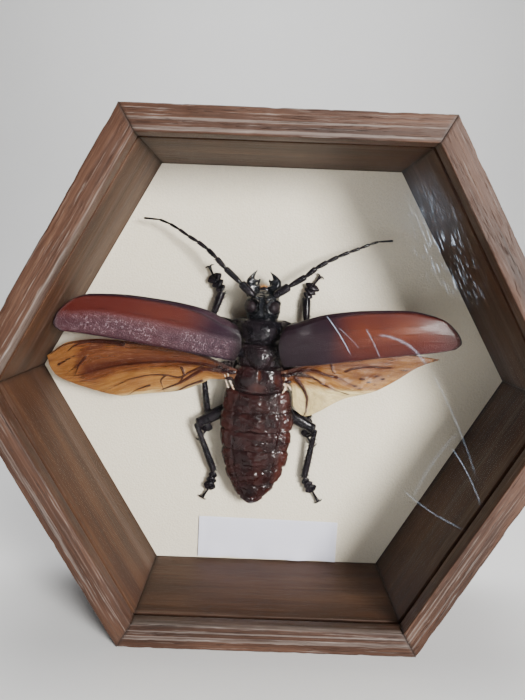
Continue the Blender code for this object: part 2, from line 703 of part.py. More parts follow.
def claws(leg: Leg) -> list:
    """Return the two hooked claws that spread from the end of a foot."""
    along = Vector(leg.foot) - Vector(leg.pads)
    along = Vector((along.x, along.y, 0.0)).normalized()
    root = Vector(leg.foot) - along * CLAW_SUNK
    hooks = []
    for side in (-1, 1):
        route = []
        for share, turn, half in CLAW_BENDS:
            heading = Matrix.Rotation(side * CLAW_SPREAD * turn, 3, "Z") @ along
            point = root + heading * CLAW_LENGTH * share
            route.append([*point, CLAW_HALF * half, CLAW_HALF * half])
        hooks.append(limb(route, sides=5))
    return hooks


def shin_spines(leg: Leg, grow: float = 0.0) -> list:
    """Return the spines along both edges of a shin and the two spurs at its end, or grown ones."""
    along = (Vector(leg.ankle) - Vector(leg.knee)).normalized()
    across = along.cross(Vector((0, 0, 1))).normalized()
    route = shin_route(leg)
    spikes = []
    for side in (-1, 1):
        for share in SPINE_SHARES:
            x, y, z, half, _ = spline(route, share)
            root = Vector((x, y, z)) + across * side * (half - SPINE_SUNK)
            heading = (across * side + along * SPINE_LEAN).normalized()
            tip = root + heading * (SPINE_LENGTH + TIP_GROWTH * grow)
            spikes.append(spine(root - heading * grow, tip, SPINE_RADIUS + grow, SPINE_SIDES))
        x, y, z, half, _ = spline(route, SPUR_SHARE)
        root = Vector((x, y, z)) + across * side * (half - SPUR_SUNK)
        heading = (across * side * SPUR_SPREAD + along).normalized()
        tip = root + heading * (SPUR_LENGTH + TIP_GROWTH * grow)
        spikes.append(spine(root - heading * grow, tip, SPUR_RADIUS + grow, SPINE_SIDES))
    return spikes


def build_legs(specimen) -> None:
    """Build the six legs, each joint cut clear of the one that it grows from."""
    for name, leg in LEGS.items():
        thigh = make_object(name + "_femur", limb(thigh_route(leg), THIGH_STEPS), BLACK_SHELL, specimen)
        shape_with(thigh, [body(part, GAP) for part in BODY_SECTIONS], "DIFFERENCE")
        shin = make_object(name + "_tibia", limb(shin_route(leg), SHIN_STEPS), BLACK_SHELL, specimen)
        shape_with(shin, shin_spines(leg), "UNION")
        shape_with(shin, [limb(thigh_route(leg), THIGH_STEPS, GAP)], "DIFFERENCE")
        foot = make_object(name + "_tarsus", limb(foot_route(leg)), BLACK_SHELL, specimen)
        shape_with(foot, claws(leg), "UNION")
        grown_shin = [limb(shin_route(leg), SHIN_STEPS, GAP), *shin_spines(leg, GAP)]
        shape_with(foot, grown_shin, "DIFFERENCE")


# Each wing's rails from its leading edge back; those of a wing start inside the thorax
VANES = {
    "elytron_left": Vane(25.0, 33.0, 3.4, 1.0, 1.3, (
        Rail(0.3, ((-13.6, 29.0), (-32.0, 36.6), (-52.6, 39.8), (-72.8, 41.2), (-87.7, 40.6),
                   (-95.1, 38.4))),
        Rail(0.3, ((-13.2, 24.4), (-55.0, 33.0), (-84.0, 35.6), (-100.6, 34.2))),
        Rail(0.3, ((-12.8, 19.0), (-56.0, 27.0), (-84.0, 30.4), (-104.4, 29.6))),
        Rail(0.0, ((-12.6, 13.8), (-56.0, 20.8), (-84.0, 24.8), (-105.6, 24.0))),
        Rail(0.3, ((-12.8, 9.4), (-30.9, 11.8), (-51.7, 15.0), (-72.1, 17.8), (-92.3, 20.2),
                   (-102.0, 20.9))),
    )),
    "elytron_right": Vane(25.0, 29.0, 3.4, 1.0, 1.3, (
        Rail(0.3, ((14.2, 30.0), (35.6, 37.2), (56.1, 40.3), (76.6, 41.4), (88.0, 39.9), (94.0, 38.2))),
        Rail(0.3, ((13.6, 24.6), (55.0, 33.2), (82.0, 36.0), (98.6, 35.2))),
        Rail(0.3, ((13.2, 18.6), (56.0, 27.0), (84.0, 30.6), (103.0, 30.6))),
        Rail(0.0, ((13.2, 12.8), (56.0, 20.4), (84.0, 25.0), (104.6, 26.2))),
        Rail(0.3, ((13.6, 7.8), (32.4, 10.2), (53.1, 14.0), (73.7, 17.5), (94.0, 21.0), (101.6, 23.0))),
    )),
    "hindwing_left": Vane(17.6, 14.0, 0.6, 0.55, 0.8, (
        Rail(0.5, ((-8.0, 2.6), (-16.4, 5.4), (-30.0, 10.6), (-56.0, 14.6), (-84.9, 15.7),
                   (-104.2, 12.7), (-116.0, 4.6))),
        Rail(0.5, ((-8.0, 1.6), (-16.4, 3.2), (-31.5, 6.2), (-58.7, 5.4), (-80.7, 1.6),
                   (-100.0, -4.4), (-110.4, -6.2))),
        Rail(0.5, ((-8.0, 0.2), (-16.6, 1.0), (-30.0, 3.0), (-43.1, -1.0), (-58.5, -2.3),
                   (-77.6, -9.0), (-88.0, -13.2))),
        Rail(0.0, ((-8.0, -1.2), (-17.0, -2.0), (-24.6, -2.4), (-30.9, -5.5), (-41.7, -9.9),
                   (-63.7, -13.5), (-74.0, -15.4))),
    )),
    "hindwing_right": Vane(17.6, 16.0, 0.6, 0.55, 0.8, (
        Rail(0.5, ((9.0, 3.0), (17.4, 5.8), (30.0, 11.0), (50.0, 15.4), (72.0, 18.4), (98.6, 15.6))),
        Rail(0.0, ((9.0, 2.2), (17.4, 4.2), (30.0, 8.6), (52.3, 9.6), (71.3, 10.6), (86.7, 10.4))),
        Rail(0.5, ((9.0, 1.4), (17.6, 2.6), (30.6, 6.0), (45.3, 1.4), (53.7, -1.8), (67.0, -2.8))),
        Rail(0.0, ((9.0, 0.6), (17.6, 1.0), (26.0, -0.6), (38.0, -5.4), (47.0, -9.6))),
        Rail(0.5, ((9.0, -0.4), (17.6, -0.6), (22.6, -2.4), (26.6, -8.0), (28.4, -19.8))),
        Rail(0.0, ((9.0, -1.6), (17.6, -2.4), (19.0, -5.0), (19.6, -9.0), (20.4, -14.8))),
    )),
}
VANE_STEPS = 18

# Bends of the left wing case's hinge lug, from its root in the thorax out under the wing case
LUG = ((-15.6, 15.4, 24.6, 2.4, 1.5), (-12.8, 14.2, 22.6, 2.4, 1.5), (-8.0, 13.0, 17.4, 2.2, 1.5))


def lug(side: int) -> bmesh.types.BMesh:
    """Return the hinge lug that carries a wing case, from under its root into the thorax."""
    return limb([[MIDDLE - side * (x - MIDDLE), *rest] for x, *rest in LUG])


def build_wings(specimen) -> None:
    """Build the wing cases, held up and forward on their lugs, and the veined wings under them."""
    for name, vane in VANES.items():
        form = sheet(vane, VANE_STEPS)
        case = name.startswith("elytron")
        wing = make_object(name, form, WING_CASE if case else MEMBRANE, specimen)
        if case:
            shape_with(wing, [lug(-1 if name.endswith("left") else 1)], "UNION")
        shape_with(wing, [body(part, GAP) for part in ("mesothorax", "metathorax")], "DIFFERENCE")


def main() -> None:
    """Build the case and the specimen in it."""
    for old in list(bpy.data.objects):
        bpy.data.objects.remove(old)
    case = make_empty("case", (0, 0, OUTER), Matrix())
    build_case(case)
    stand_up = Matrix.Rotation(SPECIMEN_TURN, 4, "Y") @ Matrix.Rotation(pi / 2, 4, "X")
    specimen = make_empty("specimen", (SPECIMEN_OFFSET, BOARD_FRONT, OUTER), stand_up)
    build_body(specimen)
    build_mandibles(specimen)
    build_antennae(specimen)
    build_legs(specimen)
    build_wings(specimen)


main()
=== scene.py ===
"""Looks for a titan beetle, spread and mounted in a hexagonal glazed wooden case.

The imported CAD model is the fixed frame. Sizes are in millimetres: the case is measured from the
middle of its hexagon, and the beetle lies flat as on a bench, with X to its right, Y towards its
head and Z up from the backing sheet. Clay.piece stands each mesh up in metres in the case.
"""

import logging
from dataclasses import dataclass, field
from enum import Enum
from math import cos, hypot, pi, radians, tan
from typing import Callable, NamedTuple

import bmesh
import bpy
import numpy as np
from mathutils import Matrix, Vector, noise


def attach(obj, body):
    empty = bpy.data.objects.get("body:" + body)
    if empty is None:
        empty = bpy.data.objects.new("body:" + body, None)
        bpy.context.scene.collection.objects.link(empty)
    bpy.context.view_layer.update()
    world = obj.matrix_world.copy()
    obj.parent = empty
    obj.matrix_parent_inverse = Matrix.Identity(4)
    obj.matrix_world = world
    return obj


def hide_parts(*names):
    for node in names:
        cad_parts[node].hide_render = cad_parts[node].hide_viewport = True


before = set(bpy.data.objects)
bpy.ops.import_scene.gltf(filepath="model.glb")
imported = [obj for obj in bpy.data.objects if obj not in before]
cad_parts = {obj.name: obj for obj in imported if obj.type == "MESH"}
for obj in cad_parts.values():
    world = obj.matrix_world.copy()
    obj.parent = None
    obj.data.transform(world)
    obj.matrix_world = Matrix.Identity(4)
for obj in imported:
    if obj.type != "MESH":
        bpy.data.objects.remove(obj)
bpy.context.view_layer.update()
LOG = logging.getLogger("beetle")

MM = 0.001
HALF_SECTOR = radians(30.0)
OUTER = 146.0 * cos(HALF_SECTOR)
INNER = OUTER - 12.15
CASE_FRONT = -39.0
STRIP_BACK = CASE_FRONT + 8.0
WALL_FRONT = STRIP_BACK + 0.3
BOARD_FRONT = CASE_FRONT + 67.1
BOARD_BACK = BOARD_FRONT + 6.6
CASE_STAND = Matrix.Translation((0, 0, OUTER * MM)) @ Matrix.Scale(MM, 4)
UPRIGHT = Matrix.Rotation(radians(1.36), 4, "Y") @ Matrix.Rotation(pi / 2, 4, "X")
BEETLE_STAND = Matrix.Translation(Vector((-9.16, BOARD_FRONT, OUTER)) * MM) @ UPRIGHT @ Matrix.Scale(MM, 4)
MIDDLE = 0.7
WING_ROOT = 12.0
WING_REACH = 94.0
MERGE_GAP = 0.0005
THORN_TIP = 0.08

Array = np.ndarray


class Side(Enum):
    """A side of the beetle, with the sign of its X."""

    LEFT = -1
    RIGHT = 1

    @property
    def word(self) -> str:
        """The side's name in the names of pieces and nodes."""
        return self.name.lower()


class Section(NamedTuple):
    """A cross-section of the body: its place along Y, its width, its heights and its middle."""

    y: float
    half: float
    low: float
    edge: float
    high: float
    middle: float = MIDDLE


class Bend(NamedTuple):
    """A point on a limb's middle line, with its half width and half height."""

    x: float
    y: float
    z: float
    half: float
    rise: float


# Shader sums


class Field:
    """A shader socket that takes part in Python sums: each operator adds a Math node."""

    def __init__(self, shader: "Shader", socket: bpy.types.NodeSocket) -> None:
        """Keep the socket and the shader that it belongs to."""
        self.shader = shader
        self.socket = socket

    def math(self, operation: str, *others: "Field | float") -> "Field":
        """Return this socket's number put through a Math node with others."""
        return self.shader.node("ShaderNodeMath", {"operation": operation}, [self, *others])

    def __add__(self, other: "Field | float") -> "Field":
        """Return self + other."""
        return self.math("ADD", other)

    __radd__ = __add__

    def __mul__(self, other: "Field | float") -> "Field":
        """Return self * other."""
        return self.math("MULTIPLY", other)

    __rmul__ = __mul__

    def __sub__(self, other: "Field | float") -> "Field":
        """Return self - other."""
        return self.math("SUBTRACT", other)

    def __rsub__(self, other: float) -> "Field":
        """Return other - self."""
        return self.shader.node("ShaderNodeMath", {"operation": "SUBTRACT"}, [other, self])

    def __truediv__(self, other: "Field | float") -> "Field":
        """Return self / other."""
        return self.math("DIVIDE", other)

    def __rtruediv__(self, other: float) -> "Field":
        """Return other / self."""
        return self.shader.node("ShaderNodeMath", {"operation": "DIVIDE"}, [other, self])

    def __abs__(self) -> "Field":
        """Return self without its sign."""
        return self.math("ABSOLUTE")

    def ramp(self, low: float, high: float) -> "Field":
        """Return a smooth step from 0 at low to 1 at high, which may be the smaller of the two.

        Args:
            low: where the step is 0.
            high: where it is 1.

        Returns:
            The step.
        """
        settings = {"interpolation_type": "SMOOTHSTEP", "clamp": True}
        if low < high:
            return self.shader.node("ShaderNodeMapRange", settings, {0: self, 1: low, 2: high})
        return 1 - self.shader.node("ShaderNodeMapRange", settings, {0: self, 1: high, 2: low})


class Shader:
    """A material in the making: its nodes and the Principled shader that they feed."""

    def __init__(self, name: str) -> None:
        """Start a material with a Principled shader.

        Args:
            name: the material's name.
        """
        self.material = bpy.data.materials.new(name)
        self.material.use_nodes = True
        self.tree = self.material.node_tree
        self.principled = self.tree.nodes["Principled BSDF"]
        self.place = self.node("ShaderNodeTexCoord", output="Object")

    def node(self, kind: str, settings: dict | None = None, inputs: list | dict | None = None,
             output: int | str = 0) -> Field:
        """Add a node.

        Args:
            kind: the node's Blender type.
            settings: its attributes, and "stops" for the stops of a colour ramp.
            inputs: values or links for its sockets, in order or by socket.
            output: which of its outputs is wanted.

        Returns:
            The wanted output.
        """
        made = self.tree.nodes.new(kind)
        for name, value in (settings or {}).items():
            if name == "stops":
                self.set_stops(made.color_ramp, value)
            else:
                setattr(made, name, value)
        pairs = inputs.items() if isinstance(inputs, dict) else enumerate(inputs or ())
        for key, value in pairs:
            if isinstance(value, Field):
                self.tree.links.new(value.socket, made.inputs[key])
            else:
                made.inputs[key].default_value = value
        return Field(self, made.outputs[output])

    def set_stops(self, ramp: bpy.types.ColorRamp, stops: tuple) -> None:
        """Give a colour ramp its stops, as (place, colour) pairs.

        Args:
            ramp: the colour ramp.
            stops: the pairs.
        """
        while len(ramp.elements) < len(stops):
            ramp.elements.new(1.0)
        for element, (place, colour) in zip(ramp.elements, stops):
            element.position = place
            element.color = (*colour, 1.0)

    def attribute(self, name: str, output: str = "Fac") -> Field:
        """Return a value that the piece's mesh carries."""
        return self.node("ShaderNodeAttribute", {"attribute_name": name}, output=output)

    def noise(self, scale: float, detail: float = 3.0, where: Field | None = None,
              stretch: tuple = (1.0, 1.0, 1.0), rough: float = 0.55) -> Field:
        """Return smooth noise of a scale per unit of where, drawn out along the axes by stretch.

        Args:
            scale: how many lumps there are in a unit.
            detail: how many finer layers it has.
            where: the coordinates that it is read at.
            stretch: the coordinates' factors.
            rough: how strong the finer layers are.

        Returns:
            The noise, from 0 to 1.
        """
        where = where or self.place
        if stretch != (1.0, 1.0, 1.0):
            where = self.node("ShaderNodeMapping", {}, {0: where, "Scale": stretch})
        sockets = {"Vector": where, "Scale": scale, "Detail": detail, "Roughness": rough}
        return self.node("ShaderNodeTexNoise", {}, sockets)

    def cells(self, scale: float, where: Field | None = None) -> Field:
        """Return the distance to the nearest of scattered points, scale of them per unit."""
        return self.node("ShaderNodeTexVoronoi", {}, {"Vector": where or self.place, "Scale": scale})

    def axis(self, index: int, where: Field | None = None) -> Field:
        """Return one coordinate of where."""
        return self.node("ShaderNodeSeparateXYZ", {}, [where or self.place], output=index)

    def mix(self, factor: Field | float, first: Field | tuple, second: Field | tuple) -> Field:
        """Return a colour between first and second.

        Args:
            factor: the share of the second.
            first: a colour or its socket.
            second: a colour or its socket.

        Returns:
            The mixed colour.
        """
        colours = [c if isinstance(c, Field) else (*c, 1.0) for c in (first, second)]
        settings = {"data_type": "RGBA", "clamp_factor": True}
        return self.node("ShaderNodeMix", settings, {0: factor, 6: colours[0], 7: colours[1]}, output=2)

    def ramp(self, factor: Field, stops: tuple) -> Field:
        """Return the colour at a factor along stops."""
        return self.node("ShaderNodeValToRGB", {"stops": stops}, [factor])

    def feed(self, socket: str, value: Field | float) -> None:
        """Link a value to a socket of the Principled shader, or set it there.

        Args:
            socket: the socket's name.
            value: what feeds it.
        """
        if isinstance(value, Field):
            self.tree.links.new(value.socket, self.principled.inputs[socket])
        else:
            self.principled.inputs[socket].default_value = value

    def bump(self, height: Field, depth: float) -> None:
        """Raise the surface by height times depth, in millimetres."""
        sockets = {"Height": height, "Distance": depth * MM, "Strength": 1.0}
        self.feed("Normal", self.node("ShaderNodeBump", {}, sockets))


# Finishes


@dataclass(frozen=True)
class Finish:
    """What every finish has: its name, the record's slot and the shader's constant values."""

    name: str
    slot: str
    constants: tuple = ()

    def dress(self, shader: Shader) -> None:
        """Feed the shader's sockets."""
        raise NotImplementedError

    def material(self) -> bpy.types.Material:
        """Return the finish's material, made once.

        Returns:
            The material.
        """
        found = bpy.data.materials.get("look_" + self.name)
        if found:
            return found
        shader = Shader("look_" + self.name)
        for socket, value in self.constants:
            shader.feed(socket, value)
        self.dress(shader)
        return shader.material


@dataclass(frozen=True)
class Wood(Finish):
    """Stained softwood with worn grain, read in each bar's own (along, across, deep) attribute."""

    dark: tuple = (0.0130, 0.0050, 0.0024)
    middle: tuple = (0.052, 0.0215, 0.0115)
    pale: tuple = (0.115, 0.058, 0.036)
    scuff: float = 0.42

    def dress(self, shader: Shader) -> None:
        """Feed the shader's sockets.

        Args:
            shader: the material in the making.
        """
        grain = shader.attribute("grain", "Vector")
        warp = shader.noise(0.02, 2.0, grain)
        fibre = shader.noise(0.9, 6.0, grain, (0.022, 1.0, 0.6), 0.62)
        bands = shader.noise(0.20, 3.0, grain, (0.040, 1.0, 0.5))
        pores = shader.noise(2.4, 2.0, grain, (0.05, 1.0, 1.0)).ramp(0.60, 0.72)
        tone = fibre * 0.55 + bands * 0.6 + warp * 0.35 - 0.28
        colour = shader.ramp(tone, ((0.22, self.dark), (0.47, self.middle), (0.72, self.pale)))
        colour = shader.mix(pores * 0.55, colour, self.dark)
        patches = shader.noise(0.045, 4.0, grain, (0.5, 1.0, 1.0), 0.7).ramp(0.52, 0.66)
        streaks = shader.noise(1.3, 4.0, grain, (0.035, 1.0, 1.0), 0.6).ramp(0.56, 0.74)
        worn = shader.attribute("worn")
        scuffed = streaks * (patches * 0.55 + worn * 0.85) * self.scuff
        lines = shader.noise(0.42, 1.0, grain, (0.004, 1.0, 0.2), 0.5).ramp(0.585, 0.64)
        scuffed = scuffed + lines * fibre.ramp(0.30, 0.60) * self.scuff * 0.55
        colour = shader.mix(scuffed, colour, (0.42, 0.37, 0.34))
        seam = shader.attribute("seam")
        shader.feed("Base Color", shader.mix(seam * 0.85, colour, (0.018, 0.010, 0.007)))
        shader.feed("Roughness", 0.42 + fibre * 0.25 + scuffed * 0.3)
        shader.bump(fibre * 0.8 - pores * 0.5 + bands * 0.5, 0.35)


@dataclass(frozen=True)
class PaneFinish(Finish):
    """Clear glass whose mesh says where smears, scratches and dust lie on it, and where a pale haze of
    painted reflection lies over its upper right.
    """

    # Long scratches as ((x, z), (x, z), bow, width, strength) in millimetres from the pane's middle
    scratches: tuple = (
        ((21.5, 38.0), (35.0, 18.0), 0.03, 0.32, 0.42),
        ((27.4, 32.6), (39.3, 21.6), 0.02, 0.25, 0.16),
        ((40.0, 33.0), (48.8, 16.6), 0.03, 0.50, 0.14),
        ((45.0, 29.6), (72.4, 11.0), 0.16, 1.30, 0.11),
        ((72.0, 14.0), (101.0, -46.0), 0.03, 0.45, 0.10),
        ((84.0, -22.0), (105.0, -62.0), 0.05, 0.40, 0.16),
        ((62.0, -44.0), (106.0, -68.0), -0.06, 0.45, 0.12),
        ((89.0, -14.0), (66.0, -56.0), -0.06, 0.35, 0.12),
    )

    def scratch(self, shader: Shader, start: tuple, end: tuple, bow: float, width: float,
                strength: float) -> Field:
        """Return how strongly one long, slightly bowed scratch covers the glass.

        Args:
            shader: the material in the making.
            start: (x, z) of one end.
            end: (x, z) of the other.
            bow: how far it bows, as a share of its length.
            width: its half width.
            strength: how strong it is at its strongest.

        Returns:
            The scratch's cover.
        """
        x, z = shader.axis(0) / MM, shader.axis(2) / MM
        length = hypot(end[0] - start[0], end[1] - start[1])
        ux, uz = (end[0] - start[0]) / length, (end[1] - start[1]) / length
        dx, dz = x - start[0], z - (start[1] + OUTER)
        along = dx * ux + dz * uz
        across = dx * uz - dz * ux + along * (length - along) * (bow * 4 / length)
        line = abs(across).ramp(width, 0.0) * along.ramp(0.0, length * 0.1)
        return line * along.ramp(length, length * 0.7) * strength

    def dress(self, shader: Shader) -> None:
        """Feed the shader's sockets.

        Args:
            shader: the material in the making.
        """
        # The haze is a painted reflection; the film and the scratches are marks on the glass.
        haze = shader.attribute("haze")
        fibres = shader.noise(900.0, 3.0, stretch=(1.0, 1.0, 0.4)).ramp(0.30, 0.72)
        turned = shader.node("ShaderNodeVectorRotate", {"rotation_type": "Y_AXIS"},
                             {"Vector": shader.place, "Angle": radians(24.0)}, output="Vector")
        strokes = shader.noise(1700.0, 2.0, turned, (1.0, 1.0, 0.06), 0.5).ramp(0.54, 0.66)
        clumps = shader.noise(110.0, 2.0).ramp(0.36, 0.58)
        cover = strokes * clumps * shader.attribute("film") + haze
        for scratch in self.scratches:
            cover = cover + self.scratch(shader, *scratch) * (0.45 + fibres * 0.6)
        shader.feed("Base Color", shader.mix(cover.ramp(0.0, 0.10), (0.02, 0.02, 0.02), (0.50, 0.62, 0.80)))
        shader.feed("Roughness", 0.04 + cover.ramp(0.0, 0.3) * 0.4)
        shader.feed("Alpha", 0.03 + cover * 0.8)


@dataclass(frozen=True)
class Foam(Finish):
    """Matt cream sheet with a fine pebbled face."""

    def dress(self, shader: Shader) -> None:
        """Feed the shader's sockets.

        Args:
            shader: the material in the making.
        """
        pebble = shader.cells(900.0)
        cloud = shader.noise(14.0, 3.0)
        grain = shader.noise(1400.0, 2.0)
        colour = shader.mix(cloud.ramp(0.35, 0.7), (0.80, 0.720, 0.555), (0.84, 0.765, 0.610))
        colour = shader.mix(grain.ramp(0.3, 0.75) * 0.35, colour, (0.88, 0.83, 0.73))
        shader.feed("Base Color", shader.mix(pebble.ramp(0.55, 0.2) * 0.18, colour, (0.58, 0.52, 0.44)))
        shader.feed("Roughness", 0.8 + grain * 0.15)
        shader.bump(pebble + grain * 0.5, 0.16)


@dataclass(frozen=True)
class Hardboard(Finish):
    """Plain thin hardboard with pressed fibres."""

    def dress(self, shader: Shader) -> None:
        """Feed the shader's sockets.

        Args:
            shader: the material in the making.
        """
        fibre = shader.noise(900.0, 4.0, stretch=(1.0, 1.0, 0.25))
        blotch = shader.noise(30.0, 3.0)
        tone = fibre * 0.6 + blotch * 0.4
        stops = ((0.3, (0.13, 0.07, 0.035)), (0.65, (0.27, 0.165, 0.09)))
        shader.feed("Base Color", shader.ramp(tone, stops))
        shader.feed("Roughness", 0.6 + fibre * 0.3)
        shader.bump(fibre, 0.12)


@dataclass(frozen=True)
class Paper(Finish):
    """Plain white paper, bare."""

    def dress(self, shader: Shader) -> None:
        """Feed the shader's sockets.

        Args:
            shader: the material in the making.
        """
        fibre = shader.noise(2600.0, 3.0)
        cloud = shader.noise(40.0, 2.0)
        shader.feed("Base Color", shader.mix(cloud.ramp(0.3, 0.8) * 0.5 + fibre * 0.2,
                                             (0.76, 0.765, 0.89), (0.72, 0.72, 0.82)))
        shader.feed("Roughness", 0.75 + fibre * 0.2)
        shader.bump(fibre, 0.03)


@dataclass(frozen=True)
class Shell(Finish):
    """Horny shell: dark or mottled colour, pits, wrinkles and a glossy coat."""

    deep: tuple = (0.0040, 0.0036, 0.0052)
    warm: tuple = (0.0130, 0.0092, 0.0120)
    rough: float = 0.15
    pits: float = 0.5
    mottle: float = 170.0

    def dress(self, shader: Shader) -> None:
        """Feed the shader's sockets.

        Args:
            shader: the material in the making.
        """
        cloud = shader.noise(self.mottle, 4.0, rough=0.6)
        fine = shader.noise(self.mottle * 6, 3.0)
        wrinkle = shader.noise(620.0, 4.0, stretch=(1.0, 1.0, 1.9), rough=0.6)
        punctures = shader.cells(1500.0).ramp(0.36, 0.12)
        patch = shader.noise(95.0, 2.0).ramp(0.42, 0.62)
        colour = shader.mix(cloud.ramp(0.38, 0.66) * 0.8 + fine * 0.2, self.deep, self.warm)
        shader.feed("Base Color", shader.mix(punctures * 0.5, colour, self.deep))
        shader.feed("Roughness", self.rough + fine * 0.12 + patch * punctures * 0.2)
        shader.bump(wrinkle * 0.9 - punctures * patch * self.pits, 0.11)


@dataclass(frozen=True)
class Saddle(Shell):
    """The plum-brown back behind the shield, with an orange stripe down its middle."""

    stripe: tuple = (0.15, 0.040, 0.016)

    def dress(self, shader: Shader) -> None:
        """Feed the shader's sockets.

        Args:
            shader: the material in the making.
        """
        cloud = shader.noise(self.mottle, 4.0, rough=0.6)
        fine = shader.noise(900.0, 3.0)
        stripe = shader.attribute("stripe") * cloud.ramp(0.25, 0.6)
        colour = shader.mix(cloud.ramp(0.38, 0.66), self.deep, self.warm)
        shader.feed("Base Color", shader.mix(stripe, colour, self.stripe))
        shader.feed("Roughness", self.rough + fine * 0.14)
        shader.bump(shader.noise(600.0, 4.0, rough=0.6), 0.06)


@dataclass(frozen=True)
class Plate(Shell):
    """The abdomen's plates: dark red-brown, paler and redder towards the flanks and darker along the seams;
    the right flank, and a band just right of the middle, are painted paler as light from the right.
    """

    flank: tuple = (0.048, 0.0118, 0.0085)
    dust: tuple = (0.150, 0.095, 0.070)

    def dress(self, shader: Shader) -> None:
        """Feed the shader's sockets.

        Args:
            shader: the material in the making.
        """
        cloud = shader.noise(120.0, 5.0, rough=0.6)
        fine = shader.noise(1100.0, 3.0)
        edge = shader.attribute("edge")
        side = shader.attribute("side")
        wrinkle = shader.noise(420.0, 4.0, stretch=(1.0, 1.0, 1.6), rough=0.62)
        dusty = shader.noise(330.0, 5.0, rough=0.7).ramp(0.56, 0.70)
        colour = shader.mix(cloud.ramp(0.26, 0.76), self.deep, self.warm)
        # Paler flanks; painted light makes the right flank and a band right of the middle paler still.
        colour = shader.mix(side * cloud.ramp(0.24, 0.70) * 0.9, colour, self.flank)
        colour = shader.mix(side * dusty * 0.06, colour, self.dust)
        shader.feed("Base Color", shader.mix(edge * 0.7, colour, self.deep))
        shader.feed("Roughness", self.rough + fine * 0.14 + side * dusty * 0.08)
        shader.bump(wrinkle + fine * 0.15, 0.08)


@dataclass(frozen=True)
class WingCase(Finish):
    """Leathery wing case: red-brown, purple towards its root, frosted with granules where worn, with a
    painted pale sheen over the granules, painted glints on some of them, and painted shade over the right
    case's root half.
    """

    rust: tuple = (0.060, 0.0105, 0.0080)
    ember: tuple = (0.125, 0.0300, 0.0110)
    plum: tuple = (0.0185, 0.0074, 0.0145)
    frost: tuple = (0.170, 0.090, 0.108)
    speck_glint: tuple = (0.42, 0.33, 0.37)
    dusk: tuple = (0.0050, 0.0024, 0.0034)

    def dress(self, shader: Shader) -> None:
        """Feed the shader's sockets.

        Args:
            shader: the material in the making.
        """
        cloud = shader.noise(60.0, 4.0)
        grain = shader.noise(1500.0, 3.0, rough=0.7)
        granules = shader.cells(1500.0)
        specks = granules.ramp(0.50, 0.22) * shader.noise(420.0, 3.0, rough=0.6).ramp(0.46, 0.56)
        frosted = shader.attribute("frost")
        blush = (shader.attribute("blush") + cloud * 0.4 - 0.20).ramp(0.05, 0.95)
        colour = shader.mix(blush, self.plum, self.rust)
        colour = shader.mix(shader.attribute("ember") * cloud.ramp(0.2, 0.7), colour, self.ember)
        # Painted sheen: a pale pinkish-grey glaze over the frosted granules, where light glances off the
        # worn shell.
        colour = shader.mix(frosted * grain.ramp(0.34, 0.70) * 0.50, colour, self.frost)
        # Painted glints: light specks on single granules.
        colour = shader.mix(frosted * frosted * specks * cloud.ramp(0.36, 0.60) * 0.75, colour, self.speck_glint)
        # Dark beads along the edges and the root, and on the right case painted shade over its root half.
        shader.feed("Base Color", shader.mix(shader.attribute("margin") * 0.92, colour, self.dusk))
        shader.feed("Roughness", 0.25 + grain * 0.12 + frosted * 0.20)
        shader.bump((frosted * 0.85 + 0.15) * (granules * -0.9 + grain * 0.7 + specks * 0.6), 0.20)


@dataclass(frozen=True)
class Membrane(Finish):
    """Thin amber wing membrane: brown along its veins and folds, pale at its rim, see-through, and with
    painted highlights along its creases.
    """

    crease_highlight: tuple = (0.55, 0.33, 0.19)
    amber: tuple = (0.130, 0.037, 0.0085)
    straw: tuple = (0.34, 0.155, 0.034)
    cream: tuple = (0.68, 0.53, 0.25)
    fold: tuple = (0.052, 0.0095, 0.0042)
    vein: tuple = (0.034, 0.0055, 0.0028)

    def dress(self, shader: Shader) -> None:
        """Feed the shader's sockets.

        Args:
            shader: the material in the making.
        """
        vein = shader.attribute("vein")
        stain = shader.attribute("stain")
        tone = shader.attribute("tone")
        pleat = shader.noise(1.0, 4.0, shader.attribute("flow", "Vector"), (0.09, 1.1, 1.0), 0.6)
        cloud = shader.noise(85.0, 4.0)
        fine = shader.noise(1500.0, 2.0)
        lit = tone + (cloud - 0.5) * 0.4 + (pleat - 0.5) * 0.45
        colour = shader.ramp(lit, ((0.15, self.amber), (0.5, self.straw), (0.85, self.cream)))
        crease = shader.noise(1.0, 3.0, shader.attribute("flow", "Vector"), (0.16, 2.6, 1.0), 0.6)
        dark = stain * (0.55 + pleat * 0.7) + pleat.ramp(0.55, 0.40) * 0.16 + crease.ramp(0.42, 0.34) * 0.25
        colour = shader.mix(dark, colour, self.fold)
        # Painted highlights: pale lines along the creases where light catches them.
        colour = shader.mix(crease.ramp(0.60, 0.70) * 0.30, colour, self.crease_highlight)
        shader.feed("Base Color", shader.mix(vein.ramp(0.16, 0.5) * 0.95, colour, self.vein))
        shader.feed("Roughness", 0.34 + fine * 0.15)
        shader.feed("Alpha", 0.80 + stain * 0.12 + vein * 0.12)
        shader.bump(pleat * 1.0 + crease * 0.5 + fine * 0.12, 0.22)


@dataclass(frozen=True)
class Eye(Finish):
    """A dark eye with fine facets under a soft gloss."""

    def dress(self, shader: Shader) -> None:
        """Feed the shader's sockets.

        Args:
            shader: the material in the making.
        """
        facets = shader.cells(3400.0)
        cloud = shader.noise(160.0, 3.0)
        colour = shader.mix(cloud.ramp(0.4, 0.7), (0.012, 0.008, 0.010), (0.034, 0.022, 0.026))
        shader.feed("Base Color", colour)
        shader.feed("Roughness", 0.38 + facets * 0.15)
        shader.bump(facets * -1.0, 0.08)


